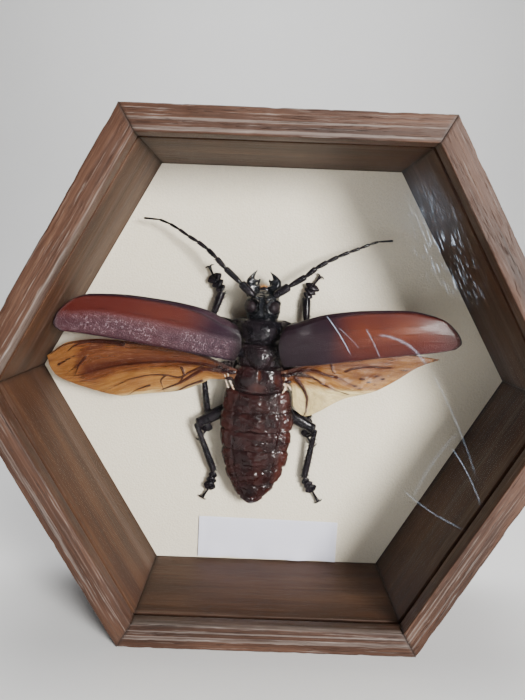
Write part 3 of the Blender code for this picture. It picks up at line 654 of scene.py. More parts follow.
@dataclass(frozen=True)
class Tuft(Finish):
    """Hair and torn tissue: one colour drifting into another."""

    first: tuple = (0.42, 0.16, 0.04)
    second: tuple = (0.62, 0.34, 0.12)

    def dress(self, shader: Shader) -> None:
        """Feed the shader's sockets.

        Args:
            shader: the material in the making.
        """
        drift = shader.noise(500.0, 3.0)
        shader.feed("Base Color", shader.mix(drift.ramp(0.35, 0.65), self.first, self.second))
        shader.feed("Roughness", 0.45 + drift * 0.3)
        shader.bump(drift, 0.1)


@dataclass(frozen=True)
class Ground(Finish):
    """Plain pale studio floor."""

    def dress(self, shader: Shader) -> None:
        """Feed the shader's sockets.

        Args:
            shader: the material in the making.
        """
        drift = shader.noise(3.0, 3.0)
        shader.feed("Base Color", shader.mix(drift, (0.78, 0.78, 0.78), (0.82, 0.82, 0.82)))
        shader.feed("Roughness", 0.7 + drift * 0.1)


def gloss(coat: float, coat_rough: float, specular: float) -> tuple:
    """Return a finish's constants: how thick and how rough its coat is, and how it mirrors light."""
    return (("Coat Weight", coat), ("Coat Roughness", coat_rough), ("Specular IOR Level", specular))


STRIP_WOOD = Wood("strip_wood", "case_wood", (("Specular IOR Level", 0.3),))
WALL_WOOD = Wood("wall_wood", "case_wood", (("Specular IOR Level", 0.22),), dark=(0.018, 0.0066, 0.0027),
                 middle=(0.050, 0.0195, 0.0085), pale=(0.092, 0.042, 0.020), scuff=0.12)
PANE = PaneFinish("pane", "case_glass", (("Specular IOR Level", 0.5),))
FOAM = Foam("foam", "backing")
HARDBOARD = Hardboard("hardboard", "back_board")
PAPER = Paper("paper", "label_paper")
BLACK = Shell("black_shell", "black_shell", gloss(0.14, 0.05, 0.16), rough=0.12)
HEAD = Shell("head_shell", "black_shell", gloss(0.22, 0.07, 0.34),
             deep=(0.0036, 0.0042, 0.0056), warm=(0.0120, 0.0130, 0.0165), rough=0.16)
SHIELD = Shell("shield", "black_shell", gloss(0.15, 0.08, 0.22),
               deep=(0.0056, 0.0034, 0.0046), warm=(0.017, 0.0082, 0.0105), rough=0.15)
METANOTUM = Saddle("metanotum", "brown_shell", gloss(0.12, 0.08, 0.28),
                   deep=(0.007, 0.0028, 0.0036), warm=(0.024, 0.0070, 0.0072), rough=0.15, mottle=110.0)
PLATE = Plate("plate", "brown_shell", gloss(0.08, 0.08, 0.24),
              deep=(0.0080, 0.0028, 0.0030), warm=(0.024, 0.0062, 0.0056), rough=0.13)
WING_CASE = WingCase("wing_case", "wing_case", gloss(0.06, 0.14, 0.17))
MEMBRANE = Membrane("membrane", "membrane", (("Specular IOR Level", 0.3),))
EYE = Eye("eye", "eye", gloss(0.06, 0.15, 0.15))
HAIR = Tuft("hair", "membrane")
FRAY = Tuft("fray", "membrane", first=(0.020, 0.012, 0.012), second=(0.16, 0.12, 0.11))
TISSUE = Tuft("tissue", "membrane", first=(0.55, 0.36, 0.22), second=(0.80, 0.70, 0.58))
GROUND = Ground("ground", "")


# Shapes


def cubic(t: Array, near: Array, far: Array, leaving: Array, arriving: Array) -> Array:
    """Return the smooth curve between two points that leaves and arrives at given slopes.

    Args:
        t: the share of the way.
        near: where the curve starts.
        far: where it ends.
        leaving: its slope at the start.
        arriving: its slope at the end.

    Returns:
        One row for each share.
    """
    return ((2 * t**3 - 3 * t**2 + 1) * near + (t**3 - 2 * t**2 + t) * leaving
            + (3 * t**2 - 2 * t**3) * far + (t**3 - t**2) * arriving)


def flow(points: Array, shares: Array) -> Array:
    """Follow a smooth curve through points that never overshoots them.

    Args:
        points: one row a point; the first two columns measure the curve's length.
        shares: how far along the curve each result lies, from 0 to 1.

    Returns:
        One row for each share.
    """
    points = np.array(points, float)
    spans = np.linalg.norm(np.diff(points[:, :2], axis=0), axis=1)
    along = np.concatenate(([0.0], np.cumsum(spans)))
    target = np.clip(shares, 0.0, 1.0) * along[-1]
    index = np.clip(np.searchsorted(along, target, side="right") - 1, 0, len(points) - 2)
    span = spans[index][:, None]
    t = (target - along[index])[:, None] / span
    secants = np.diff(points, axis=0) / spans[:, None]
    before, after = secants[:-1], secants[1:]
    product = before * after
    inner = np.where(product > 0, 2 * product / np.where(product > 0, before + after, 1.0), 0.0)
    slopes = np.concatenate((secants[:1], inner, secants[-1:]))
    return cubic(t, points[index], points[index + 1], span * slopes[index], span * slopes[index + 1])


def hump(x: Array, middle: float, width: float) -> Array:
    """Return a bell of height 1 about a middle."""
    return np.exp(-(((x - middle) / width) ** 2))


def step(x: Array, low: float, high: float) -> Array:
    """Return a smooth step from 0 at low to 1 at high, which may be the smaller of the two."""
    t = np.clip((x - low) / (high - low), 0.0, 1.0)
    return t * t * (3 - 2 * t)


def rough(points: Array, size: float, octaves: int = 3, seed: float = 0.0) -> Array:
    """Return fractal noise about 0 at points, with lumps of a size in millimetres."""
    shift = Vector((seed, seed * 0.7, -seed))
    return np.array([noise.fractal(Vector(p) / size + shift, 1.0, 2.0, octaves) for p in points])


def nearness(points: Array, line: tuple, width: float) -> Array:
    """Return a bell of height 1 along a smooth line, tapering to its far end.

    Args:
        points: (x, y) rows.
        line: the line's (x, y) points from its thick end.
        width: the bell's width at the thick end.

    Returns:
        A value for each point.
    """
    run = flow(np.array(line, float), np.linspace(0, 1, 36))
    best = np.zeros(len(points))
    for rank, (a, b) in enumerate(zip(run, run[1:])):
        along = b - a
        t = np.clip(((points - a) @ along) / (along @ along), 0, 1)
        gap = np.linalg.norm(points - a - t[:, None] * along, axis=1)
        taper = 1 - 0.55 * rank / len(run)
        best = np.maximum(best, np.exp(-((gap / (width * taper)) ** 2)) * taper)
    return best


class Clay:
    """A mesh in the making, in millimetres, shaped with Blender's mesh operators."""

    def __init__(self) -> None:
        """Start an empty mesh with a UV map."""
        self.bm = bmesh.new()
        self.bm.loops.layers.uv.new("UVMap")

    def patch(self, columns: int, rows: int, place: Callable, closed: bool = True) -> None:
        """Lay Blender's grid over a shape.

        Args:
            columns: how many faces the grid has along its first share.
            rows: how many along its second.
            place: takes arrays of both shares and returns {"co": points, name: values}.
            closed: whether its seam and poles meet, and are merged.
        """
        sample = place(np.array((0.4,)), np.array((0.4,)))
        layers = self.bm.verts.layers
        carried = {}
        for name, values in sample.items():
            kind = layers.float_vector if values.ndim > 1 else layers.float
            if name != "co":
                carried[name] = kind.get(name) or kind.new(name)
        made = bmesh.ops.create_grid(self.bm, x_segments=columns, y_segments=rows, size=0.5, calc_uvs=True)
        verts = made["verts"]
        shares = np.array([vert.co[:2] for vert in verts]) + 0.5
        placed = place(shares[:, 0], shares[:, 1])
        for name, layer in carried.items():
            for vert, value in zip(verts, placed[name].tolist()):
                vert[layer] = value
        for vert, point in zip(verts, placed["co"].tolist()):
            vert.co = point
        if closed:
            bmesh.ops.remove_doubles(self.bm, verts=verts, dist=MERGE_GAP)

    def tube(self, route: list, columns: int, rows: int, swell: Callable | None = None,
             blunt: float = 0.05) -> None:
        """Add a closed limb along a route of bends.

        Args:
            route: rows of (x, y, z, half width, half height).
            columns: faces round it.
            rows: faces along it.
            swell: takes arrays of turn and share and returns how much wider it is there.
            blunt: the share of its length over which each end rounds off.
        """
        def place(u: Array, v: Array) -> dict:
            """Return the limb's points.

            Args:
                u: the grid's first shares.
                v: its second shares.

            Returns:
                The points, and any values by name.
            """
            bends = flow(route, v)
            before = flow(route, v - 0.01)
            after = flow(route, v + 0.01)
            along = after[:, :3] - before[:, :3]
            along /= np.linalg.norm(along, axis=1)[:, None]
            across = np.cross(along, (0.0, 0.0, 1.0))
            across /= np.linalg.norm(across, axis=1)[:, None]
            up = np.cross(across, along)
            near_end = np.clip(np.minimum(v, 1 - v) / blunt, 0, 1)
            full = np.sqrt(np.clip(1 - (1 - near_end) ** 2, 0, 1))
            turn = 2 * pi * u
            wide = full * (swell(turn, v) if swell else 1.0)
            half = (bends[:, 3] * wide * np.cos(turn))[:, None]
            rise = (bends[:, 4] * wide * np.sin(turn))[:, None]
            return {"co": bends[:, :3] + across * half + up * rise}
        self.patch(columns, rows, place)

    def thorn(self, root: Vector, tip: Vector, radius: float, sides: int = 7) -> None:
        """Add a pointed cone from its sunk root to its tip.

        Args:
            root: the middle of its base.
            tip: its point.
            radius: its base's radius.
            sides: how many faces it has round it.
        """
        along = Vector(tip) - Vector(root)
        turn = along.to_track_quat("Z", "Y").to_matrix().to_4x4()
        matrix = Matrix.Translation(Vector(root) + along / 2) @ turn
        bmesh.ops.create_cone(self.bm, cap_ends=True, segments=sides, radius1=radius,
                              radius2=radius * THORN_TIP, depth=along.length, matrix=matrix)

    def ball(self, centre: tuple, radii: tuple, sides: int = 20) -> None:
        """Add an ellipsoid.

        Args:
            centre: its middle.
            radii: its three radii.
            sides: how many faces it has round it.
        """
        matrix = Matrix.Translation(centre) @ Matrix.Diagonal((*radii, 1.0))
        bmesh.ops.create_uvsphere(self.bm, u_segments=sides, v_segments=sides // 2 + 2, radius=1.0,
                                  matrix=matrix)

    def piece(self, name: str, finish: Finish, nodes: tuple = (), stand: Matrix = BEETLE_STAND,
              crease: float = 50.0) -> bpy.types.Object:
        """Stand the mesh up in the frame as a finished piece.

        Args:
            name: the piece's name.
            finish: what it is made of.
            nodes: the CAD nodes that it stands for.
            stand: from its millimetres to the frame's metres.
            crease: the angle in degrees past which an edge is sharp.

        Returns:
            The piece's object.
        """
        bmesh.ops.recalc_face_normals(self.bm, faces=self.bm.faces)
        bmesh.ops.transform(self.bm, matrix=stand, verts=self.bm.verts)
        mesh = bpy.data.meshes.new(name)
        self.bm.to_mesh(mesh)
        self.bm.free()
        mesh.materials.append(finish.material())
        mesh.shade_smooth()
        mesh.set_sharp_from_angle(angle=radians(crease))
        thing = bpy.data.objects.new(name, mesh)
        bpy.context.scene.collection.objects.link(thing)
        if not finish.slot:
            return thing
        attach(thing, "root")
        if nodes:
            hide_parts(*nodes)
        LOG.info("%s: %d faces, for %s", name, len(mesh.polygons), ", ".join(nodes) or "no node")
        return thing


# The case


@dataclass
class Case:
    """The glazed case: its bars, pane, backing sheet, back panel and label."""

    sides: tuple = ("top", "top_right", "bottom_right", "bottom", "bottom_left", "top_left")
    seat: float = 4.3
    panel_seat: float = 6.3
    rebate: float = 2.3
    bevel: float = 0.7
    wall_bevel: float = 0.35
    mitre_bevel: float = 0.25
    mitre_gap: float = 0.03
    shortest_bar: float = 20.0
    corner_angle: float = 1.0
    cuts: tuple = (90, 60)
    grain_shift: tuple = (400, 90)
    worn_width: float = 3.0
    seam_width: float = 0.8
    pane_apothem: float = 118.28
    pane_thickness: float = 2.0
    pane_face: float = 0.92
    label_size: tuple = (82.4, 24.8)
    label_turn: float = radians(0.8)
    label_thickness: float = 0.35

    def long_edges(self, bm: bmesh.types.BMesh) -> list:
        """Return the edges that run the length of a bar."""
        return [edge for edge in bm.edges
                if abs(edge.verts[0].co.x - edge.verts[1].co.x) > self.shortest_bar]

    def bar(self, profile: list, number: int, cuts: int, inner_bevel: float) -> Clay:
        """Make one mitred bar of the hexagon.

        Args:
            profile: (radius, depth) points round its section.
            number: which side it is, clockwise from the top.
            cuts: how many times its long edges are divided.
            inner_bevel: how far its long edges are rounded.

        Returns:
            The bar with its grain, worn and seam attributes, turned into its place.
        """
        clay = Clay()
        bm = clay.bm
        end = bm.faces.new([bm.verts.new((0, depth, radius)) for radius, depth in profile])
        other = bmesh.ops.extrude_face_region(bm, geom=[end])["geom"]
        far = {v for v in other if isinstance(v, bmesh.types.BMVert)}
        for vert in bm.verts:
            reach = vert.co.z * tan(HALF_SECTOR) - self.mitre_gap
            vert.co.x = reach if vert in far else -reach
        bmesh.ops.recalc_face_normals(bm, faces=bm.faces)
        long_edges = self.long_edges(bm)
        mitres = [edge for edge in bm.edges if edge not in long_edges]
        bevel = {"profile": 0.5, "affect": "EDGES", "material": -1}
        bmesh.ops.bevel(bm, geom=mitres, offset=self.mitre_bevel, segments=2, **bevel)
        corners = [edge for edge in self.long_edges(bm)
                   if len(edge.link_faces) == 2 and edge.calc_face_angle() > self.corner_angle]
        bmesh.ops.bevel(bm, geom=corners, offset=inner_bevel, segments=3, **bevel)
        bmesh.ops.subdivide_edges(bm, edges=self.long_edges(bm), cuts=cuts, use_grid_fill=True)
        grain = bm.verts.layers.float_vector.new("grain")
        worn = bm.verts.layers.float.new("worn")
        seam = bm.verts.layers.float.new("seam")
        points = np.array([v.co for v in bm.verts])
        dents = rough(points, 9.0, 4, number * 7.3)
        shift_along, shift_deep = self.grain_shift
        for vert, dent in zip(bm.verts, dents.tolist()):
            x, y, z = vert.co
            corner = min(abs(z - OUTER), abs(z - INNER)) + min(abs(y - CASE_FRONT), abs(y + CASE_FRONT))
            worn_here = max(0.0, 1 - corner / self.worn_width)
            vert[grain] = (x + shift_along * number, z, y + shift_deep * number)
            vert[worn] = worn_here
            vert[seam] = max(0.0, 1 - (z * tan(HALF_SECTOR) - abs(x)) / self.seam_width)
            nick = max(0.0, dent) * (0.10 + 0.35 * worn_here)
            vert.co.z += nick if z < (OUTER + INNER) / 2 else -nick
            if abs(y - CASE_FRONT) < 1.5:
                vert.co.y += nick
        bmesh.ops.rotate(bm, matrix=Matrix.Rotation(2 * HALF_SECTOR * number, 3, "Y"), verts=bm.verts)
        return clay

    def build_bars(self) -> None:
        """Make the six front strips and the six walls behind them."""
        behind = WALL_FRONT - 0.02
        strip = [(OUTER, CASE_FRONT), (INNER, CASE_FRONT), (INNER, behind), (OUTER, behind)]
        floor = WALL_FRONT + self.rebate
        wall = [(OUTER, WALL_FRONT), (INNER + self.seat, WALL_FRONT), (INNER + self.seat, floor),
                (INNER, floor), (INNER, BOARD_BACK), (INNER + self.panel_seat, BOARD_BACK),
                (INNER + self.panel_seat, -CASE_FRONT), (OUTER, -CASE_FRONT)]
        kinds = (("strip_", STRIP_WOOD, strip, 0, self.bevel),
                 ("wall_", WALL_WOOD, wall, len(self.sides), self.wall_bevel))
        for number, side in enumerate(self.sides):
            for (kind, wood, profile, first, bevel), cuts in zip(kinds, self.cuts):
                bar = self.bar(profile, number + first, cuts, bevel)
                bar.piece(kind + side, wood, ("case_" + kind + side,), CASE_STAND)

    def build_label(self) -> None:
        """Make the bare paper label, whose lower edge lifts off the board in waves."""
        clay = Clay()
        wide, tall = self.label_size

        def place(u: Array, v: Array) -> dict:
            """Return the label's points.

            Args:
                u: the grid's first shares.
                v: its second shares.

            Returns:
                The points, and any values by name.
            """
            turn = 2 * pi * u
            across = (1 - np.cos(turn)) / 2
            edge = np.tanh(14 * np.abs(np.sin(turn))) * np.tanh(40 * np.minimum(v, 1 - v))
            depth = np.sign(np.sin(turn)) * edge * self.label_thickness / 2
            x = (across - 0.5) * wide
            z = (v - 0.5) * tall
            free = step(v, 0.4, 0.0)
            lift = free * (0.5 + 0.35 * np.sin(x * 0.16) + 0.25 * np.sin(x * 0.37 + 1.0))
            lift += step(np.abs(x), wide * 0.44, wide * 0.5) * 0.25
            z = z + free * 0.25 * np.sin(x * 0.22 + 0.5)
            return {"co": np.stack((x, BOARD_FRONT - 0.35 - lift - depth, z), axis=1)}
        clay.patch(120, 40, place)
        bmesh.ops.rotate(clay.bm, matrix=Matrix.Rotation(self.label_turn, 3, "Y"), verts=clay.bm.verts)
        middle = -INNER + 1.1 + tall / 2
        bmesh.ops.translate(clay.bm, vec=(0.1, 0, middle), verts=clay.bm.verts)
        clay.piece("label_paper", PAPER, ("label",), CASE_STAND)

    def build_pane(self) -> None:
        """Make the glass, whose front is a fine grid that carries its film."""
        clay = Clay()
        apothem, thick, face = self.pane_apothem, self.pane_thickness, self.pane_face

        def place(u: Array, v: Array) -> dict:
            """Return the pane's points, with its film and its haze of painted reflection.

            Args:
                u: the grid's first shares.
                v: its second shares.

            Returns:
                The points, and any values by name.
            """
            turn = np.where(u < face, u / face, 1 + (u - face) / (1 - face)) * pi
            z = (2 * v - 1) * apothem
            half = (2 * apothem - np.abs(z)) * tan(HALF_SECTOR)
            x = -np.cos(turn) * half
            side = np.sign(np.round(np.sin(turn), 6)) * (np.abs(v - 0.5) < 0.4999)
            y = WALL_FRONT + thick / 2 - side * thick / 2
            # Painted reflection: a soft pale haze over the pane's upper right, fading out from its middle.
            away = np.hypot(x - 66, (z - 88) / 0.8)
            haze = 0.045 * step(away, 38.0, 4.0)
            lean = np.hypot((x - 76.0 + 0.45 * (z - 68.0)) / 9.0, (z - 68.0) / 14.0)
            film = 0.60 * np.exp(-(lean**2)) + 0.02
            return {"co": np.stack((x, y, z), axis=1), "film": film * (side > 0), "haze": haze * (side > 0)}
        clay.patch(150, 120, place)
        clay.piece("pane", PANE, ("glass",), CASE_STAND, 30.0)

    def dress_nodes(self) -> None:
        """Give the flat backing and back panel of the CAD model their finishes."""
        for name, finish in (("backing_sheet", FOAM), ("back_panel", HARDBOARD)):
            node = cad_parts[name]
            node.data.materials.clear()
            node.data.materials.append(finish.material())
            LOG.info("%s: kept, with %s", name, finish.name)

    def build(self) -> None:
        """Make every part of the case."""
        self.build_bars()
        self.build_pane()
        self.build_label()
        self.dress_nodes()


# The body


def sections(*rows: tuple) -> list:
    """Return cross-sections from rows of their sizes."""
    return [Section(*row) for row in rows]


@dataclass
class BodyPart:
    """A ring-shaped part of the body, lofted through its sections with relief worked into it."""

    node: str
    finish: Finish
    sections: list
    relief: Callable
    columns: int = 144
    rows: int = 96
    cap: float = 0.05
    squareness: float = 0.86
    stations: Array | None = None

    def sizes(self, row: Array) -> tuple:
        """Return each row's (y, half, low, edge, high, middle) and how far its plate is tucked in.

        Args:
            row: the share along the part, from its rear.

        Returns:
            The sizes and the tucks.
        """
        table = np.array([(s.y, 0.0, s.half, s.low, s.edge, s.high, s.middle) for s in self.sections])
        first, last = table[0, 0], table[-1, 0]
        if self.stations is None:
            share, tuck = row, np.zeros(len(row))
        else:
            share = np.interp(row, np.linspace(0, 1, len(self.stations)), self.stations[:, 0])
            share = (share - first) / (last - first)
            tuck = np.interp(row, np.linspace(0, 1, len(self.stations)), self.stations[:, 1])
        found = flow(table, share)
        return found[:, [0, 2, 3, 4, 5, 6]], tuck

    def place(self, u: Array, v: Array) -> dict:
        """Return the points of the part's skin for a grid's shares.

        Args:
            u: the grid's first shares.
            v: its second shares.

        Returns:
            The points, and the values that the mesh carries.
        """
        row = np.clip((v - self.cap) / (1 - 2 * self.cap), 0, 1)
        full = np.clip(np.minimum(v, 1 - v) / self.cap, 0, 1)
        sizes, tuck = self.sizes(row)
        y, half, low, edge, high, middle = sizes.T
        turn = 2 * pi * u
        across, up = np.cos(turn), np.sin(turn)
        reach = np.where(up > 0, high - edge, edge - low)
        wide = np.sign(across) * np.abs(across) ** self.squareness
        tall = np.sign(up) * np.abs(up) ** self.squareness
        points = np.stack((middle + wide * half * full, y, edge + tall * reach * full), axis=1)
        made = self.relief(points, up)
        out = (made.pop("out") - tuck) * full
        points[:, 0] += across * out
        points[:, 2] += up * out
        points[:, 1] += made.pop("forward", 0.0) * full
        return {"co": points, **made}

    def build(self, extra: Callable | None = None) -> None:
        """Make the part's piece, with extra shapes fused in.

        Args:
            extra: adds further shapes to the mesh.
        """
        clay = Clay()
        clay.patch(self.columns, self.rows, self.place)
        if extra:
            extra(clay)
        clay.piece(self.node + "_shell", self.finish, (self.node,))


@dataclass
class Body:
    """The head, thorax and abdomen, with the eyes."""

    head_rear: float = 31.65
    prothorax_rear: float = 17.95
    mesothorax_rear: float = 6.0
    metathorax_rear: float = -9.3
    tip: float = -75.4
    seams: tuple = (-19.2, -30.1, -41.1, -52.1, -61.6, -69.6)
    ring_shares: tuple = (0.0, 0.04, 0.09, 0.15, 0.22, 0.30, 0.4, 0.5, 0.6, 0.7, 0.8, 0.87, 0.92, 0.96,
                          0.985)
    abdomen_halves: tuple = ((9.6, 16.0), (25.0, 19.8), (41.0, 18.7), (54.5, 15.8), (63.6, 12.0),
                             (70.6, 7.4), (75.4, 1.9))
    shield_edge: tuple = ((-7.6, 17.3), (-7.3, 13.8), (-5.6, 10.2), (-3.4, 7.2), (-1.2, 5.5), (0.7, 5.0))
    eye_places: tuple = ((-5.3, 38.4, 13.2), (5.9, 38.3, 13.2))
    eye_radii: tuple = (4.2, 4.2, 8.4)
    collar_spines: tuple = ((30.2, 2.4), (25.2, 2.2), (20.2, 1.7))

    def head_relief(self, points: Array, up: Array) -> dict:
        """Return the head's relief: its groove, brows, feeler sockets and wrinkles.

        Args:
            points: the skin's points, one a row.
            up: how far each point faces up, from -1 to 1.

        Returns:
            How far the skin stands out, and the values that its mesh carries.
        """
        x, y = points[:, 0] - MIDDLE, points[:, 1]
        top = np.clip(up, 0, 1)
        groove = hump(x, 0.0, 0.55) * step(y, 33.0, 35.5) * step(y, 46.0, 43.5)
        shoulders = hump(np.abs(x), 1.7, 0.9) * step(y, 34.0, 37.0) * step(y, 45.5, 42.0)
        sockets = hump(np.abs(x), 4.1, 1.7) * hump(y, 44.0, 1.5)
        ring = np.sqrt(((np.abs(x) - 5.7) / 4.0) ** 2 + ((y - 38.4) / 4.0) ** 2)
        brow = hump(ring, 1.08, 0.09)
        hollow = step(ring, 1.00, 0.88)
        front = step(y, 45.2, 47.2) * hump(x, 0.0, 3.0)
        neck = step(y, 34.0, 32.4)
        out = -1.1 * groove + 0.80 * shoulders + 1.5 * sockets + 1.0 * brow + 0.4 * front - 0.4 * neck
        out = top * out - 1.6 * hollow
        return {"out": out + (0.22 + 0.20 * top) * rough(points, 1.5, 3, 5.0)}

    def pronotum_relief(self, points: Array, up: Array) -> dict:
        """Return the pronotum's relief: its rims, thorns, raised discs and wrinkled margins.

        Args:
            points: the skin's points, one a row.
            up: how far each point faces up, from -1 to 1.

        Returns:
            How far the skin stands out, and the values that its mesh carries.
        """
        x, y = points[:, 0] - MIDDLE, points[:, 1]
        top = np.clip(up, 0, 1)
        keel = np.exp(-((np.abs(up) / 0.16) ** 2))
        out = 0.8 * keel * step(y, 17.9, 19.5)
        for place, length in self.collar_spines:
            out = out + length * hump(y, place, 0.85) * np.exp(-((np.abs(up) / 0.10) ** 2))
        rims = 0.6 * hump(y, 31.0, 0.4) + 0.5 * hump(y, 18.6, 0.45)
        hollow = 0.6 * hump(y, 29.9, 0.8) + 0.5 * hump(y, 19.8, 0.7)
        discs = hump(np.abs(x), 3.6, 2.2) * hump(y, 25.4, 2.8)
        mid = hump(x, 0.6, 2.2) * hump(y, 21.8, 2.0)
        pits = hump(np.abs(x), 8.6, 1.2) * hump(y, 26.5, 2.2)
        dome = hump(x, 0.0, 7.6) * hump(y, 24.4, 5.0)
        out = out + top * (0.2 * rims - 0.2 * hollow + 0.15 * discs + 0.5 * mid - 0.6 * pits + 0.9 * dome)
        flank = np.clip(np.abs(x) / 13.0, 0, 1) ** 3
        return {"out": out + (0.10 + 0.32 * flank) * rough(points, 1.7, 4, 11.0)}

    def mesothorax_relief(self, points: Array, up: Array) -> dict:
        """Return the relief between the wing cases, which the shield covers.

        Args:
            points: the skin's points, one a row.
            up: how far each point faces up, from -1 to 1.

        Returns:
            How far the skin stands out, and the values that its mesh carries.
        """
        x, y = points[:, 0] - MIDDLE, points[:, 1]
        top = np.clip(up, 0, 1)
        arms = hump(np.abs(x) - (y - 6.0) * 0.62, 3.2, 0.7) * step(y, 17.0, 15.0)
        out = top * (0.9 * arms + 0.25 * hump(y, 16.6, 0.7) + 1.4 * hump(x, 0.0, 6.0) * hump(y, 15.6, 4.0))
        return {"out": out + 0.2 * rough(points, 1.8, 3, 17.0)}

    def metathorax_relief(self, points: Array, up: Array) -> dict:
        """Return the relief of the two lobes behind the shield, with the strap between them.

        Args:
            points: the skin's points, one a row.
            up: how far each point faces up, from -1 to 1.

        Returns:
            How far the skin stands out, and the values that its mesh carries.
        """
        x, y = points[:, 0] - MIDDLE, points[:, 1]
        top = np.clip(up, 0, 1)
        strap = hump(x, 0.0, 1.1)
        trench = hump(x, 0.0, 0.5)
        lobes = hump(np.abs(x), 6.2, 4.6) * hump(y, -0.4, 5.4)
        slots = hump(np.abs(x) + (y - 2.0) * 0.35, 9.6, 0.7)
        rear = hump(y, -8.2, 0.7)
        folds = hump(y, 4.6, 0.6) * step(np.abs(x), 1.5, 3.0)
        out = top * (0.1 * strap - 0.3 * trench + 1.3 * lobes - 0.15 * slots + 0.2 * rear + 0.2 * folds)
        stripe = 0.6 * hump(x, 0.0, 0.7) * step(y, 5.0, 3.0) * step(y, -2.0, 1.0)
        stripe = stripe + 0.20 * hump(x, 0.0, 2.4) * hump(y, -5.2, 2.6)
        stripe = np.maximum(stripe, 0.20 * hump(x, 9.3, 1.6) * hump(y, -1.4, 2.4))
        bow = 2.6 * (x / 15.0) ** 2 * step(y, -3.0, -9.0)
        return {"out": out + 0.16 * rough(points, 2.0, 4, 23.0), "forward": bow, "stripe": stripe * top}

    def abdomen_stations(self) -> Array:
        """Return (y, tuck) for each ring of the abdomen: each plate's rear laps the next one.

        Returns:
            One row for each ring.
        """
        ends = (self.metathorax_rear - 0.3, *self.seams, self.tip)
        rings = []
        for number, (front, rear) in enumerate(zip(ends, ends[1:])):
            tuck = 0.85 if number else 0.0
            for share in self.ring_shares:
                lip = 0.22 * np.exp(-(((share - 0.94) / 0.045) ** 2)) if rear != self.tip else 0.0
                sunk = tuck * (1 - share / 0.34) ** 2 * (share < 0.34) - lip
                rings.append((front + (rear - front) * share, sunk))
        rings.append((self.tip, 0.0))
        return np.array(rings)

    def abdomen_relief(self, points: Array, up: Array) -> dict:
        """Return the relief of the abdomen's plates, and where they are edged or paler.

        Args:
            points: the skin's points, one a row.
            up: how far each point faces up, from -1 to 1.

        Returns:
            How far the skin stands out, and the values that its mesh carries.
        """
        x, y = points[:, 0] - MIDDLE, points[:, 1]
        top = np.clip(up, 0, 1)
        half = np.interp(-y, *zip(*self.abdomen_halves))
        share = np.abs(x) / half
        ends = np.array((self.metathorax_rear, *self.seams, self.tip))
        rank = np.clip(np.searchsorted(-ends, -y) - 1, 0, len(ends) - 2)
        along = (ends[rank] - y) / (ends[rank] - ends[rank + 1])
        fold = hump(share, 0.67 + 0.025 * np.sin(y * 0.55 + np.sign(x)), 0.04)
        ridge = hump(share, 0.0, 0.10) * hump(along, 0.55, 0.35)
        dimples = hump(share, 0.40, 0.08) * hump(along, 0.45, 0.16)
        swell = np.sin(pi * np.clip(along, 0, 1)) ** 0.7
        rim = np.exp(-((up / 0.40) ** 2))
        notch = np.exp(-((np.minimum(along, 1 - along) / 0.08) ** 2)) * rim - 0.5 * swell * rim
        last = (rank == len(ends) - 2) * np.exp(-((along / 0.32) ** 2)) * rim
        wrinkle = rough(points * (1.0, 1.7, 1.0), 2.4, 4, 31.0)
        lumps = rough(points, 5.5, 2, 41.0)
        out = top * (-0.45 * fold + 0.55 * ridge - 0.35 * dimples + 0.3 * swell) - 1.2 * notch - 2.4 * last
        creases = np.sin(2 * pi * y / 2.9 + 3.0 * lumps) * hump(share, 0.08, 0.24) * step(y, -62.0, -50.0)
        out = out + (0.17 + 0.25 * step(share, 0.6, 0.8)) * wrinkle + 0.34 * lumps + 0.20 * top * creases
        ragged = 0.05 + 0.035 * rough(points, 1.6, 3, 47.0)
        edge = np.exp(-((np.minimum(along, 1 - along) / np.abs(ragged)) ** 2))
        flank = np.clip((share - 0.62) / 0.2, 0, 1)
        # Paler, redder flanks; the right flank more than the left, and a band just right of the middle, are
        # painted light from the right.
        side = np.maximum(flank * np.where(x > 0, 1.0, 0.65), 0.35 * hump(x, 3.0, 2.2))
        bow = -0.9 * (1 - share**2) + 0.9 * rough(points, 3.0, 3, 53.0)
        bow = bow * step(y, -9.7, -13.0) * step(y, -75.0, -70.0)
        bow = bow + 2.6 * (x / 15.0) ** 2 * step(y, -17.0, -9.6)
        return {"out": out, "forward": bow, "edge": np.maximum(edge, 0.5 * fold), "side": side}

    def scutellum(self, clay: Clay) -> None:
        """Add the shield between the wing cases: a rounded V with creases across its front.

        Args:
            clay: the mesh that it is added to.
        """
        def place(u: Array, v: Array) -> dict:
            """Return the shield's points.

            Args:
                u: the grid's first shares.
                v: its second shares.

            Returns:
                The points, and any values by name.
            """
            turn = 2 * pi * u
            across = -np.cos(turn)
            side = flow(self.shield_edge, v * 0.995)
            half = (MIDDLE - side[:, 0]) * np.tanh(20 * np.clip(v + 0.004, 0, 1))
            rim = np.tanh(5 * np.abs(np.sin(turn)))
            x = MIDDLE + across * half
            y = side[:, 1]
            height = 21.4 + 2.9 * (1 - across**2) * np.sin(pi * np.clip(v * 0.8 + 0.15, 0, 1))
            height = height + 0.35 * rough(np.stack((x, y, 0 * x), axis=1), 2.2, 3, 61.0)
            creases = 0.25 * np.sin(y * 5.2 + 0.6 * np.cos(x)) * step(y, 12.5, 15.0)
            thick = 1.3 * rim * step(v, 0.0, 0.03) * step(v, 1.0, 0.97)
            z = height + np.where(np.sin(turn) > 0, thick * 0.5 + creases * rim, -thick)
            return {"co": np.stack((x, y, z), axis=1)}
        clay.patch(96, 60, place)

    def build_eyes(self) -> None:
        """Make the two large eyes."""
        for side, centre in zip(Side, self.eye_places):
            clay = Clay()
            clay.ball(centre, self.eye_radii, 64)
            clay.piece("eye_" + side.word + "_lens", EYE, ("eye_" + side.word,))

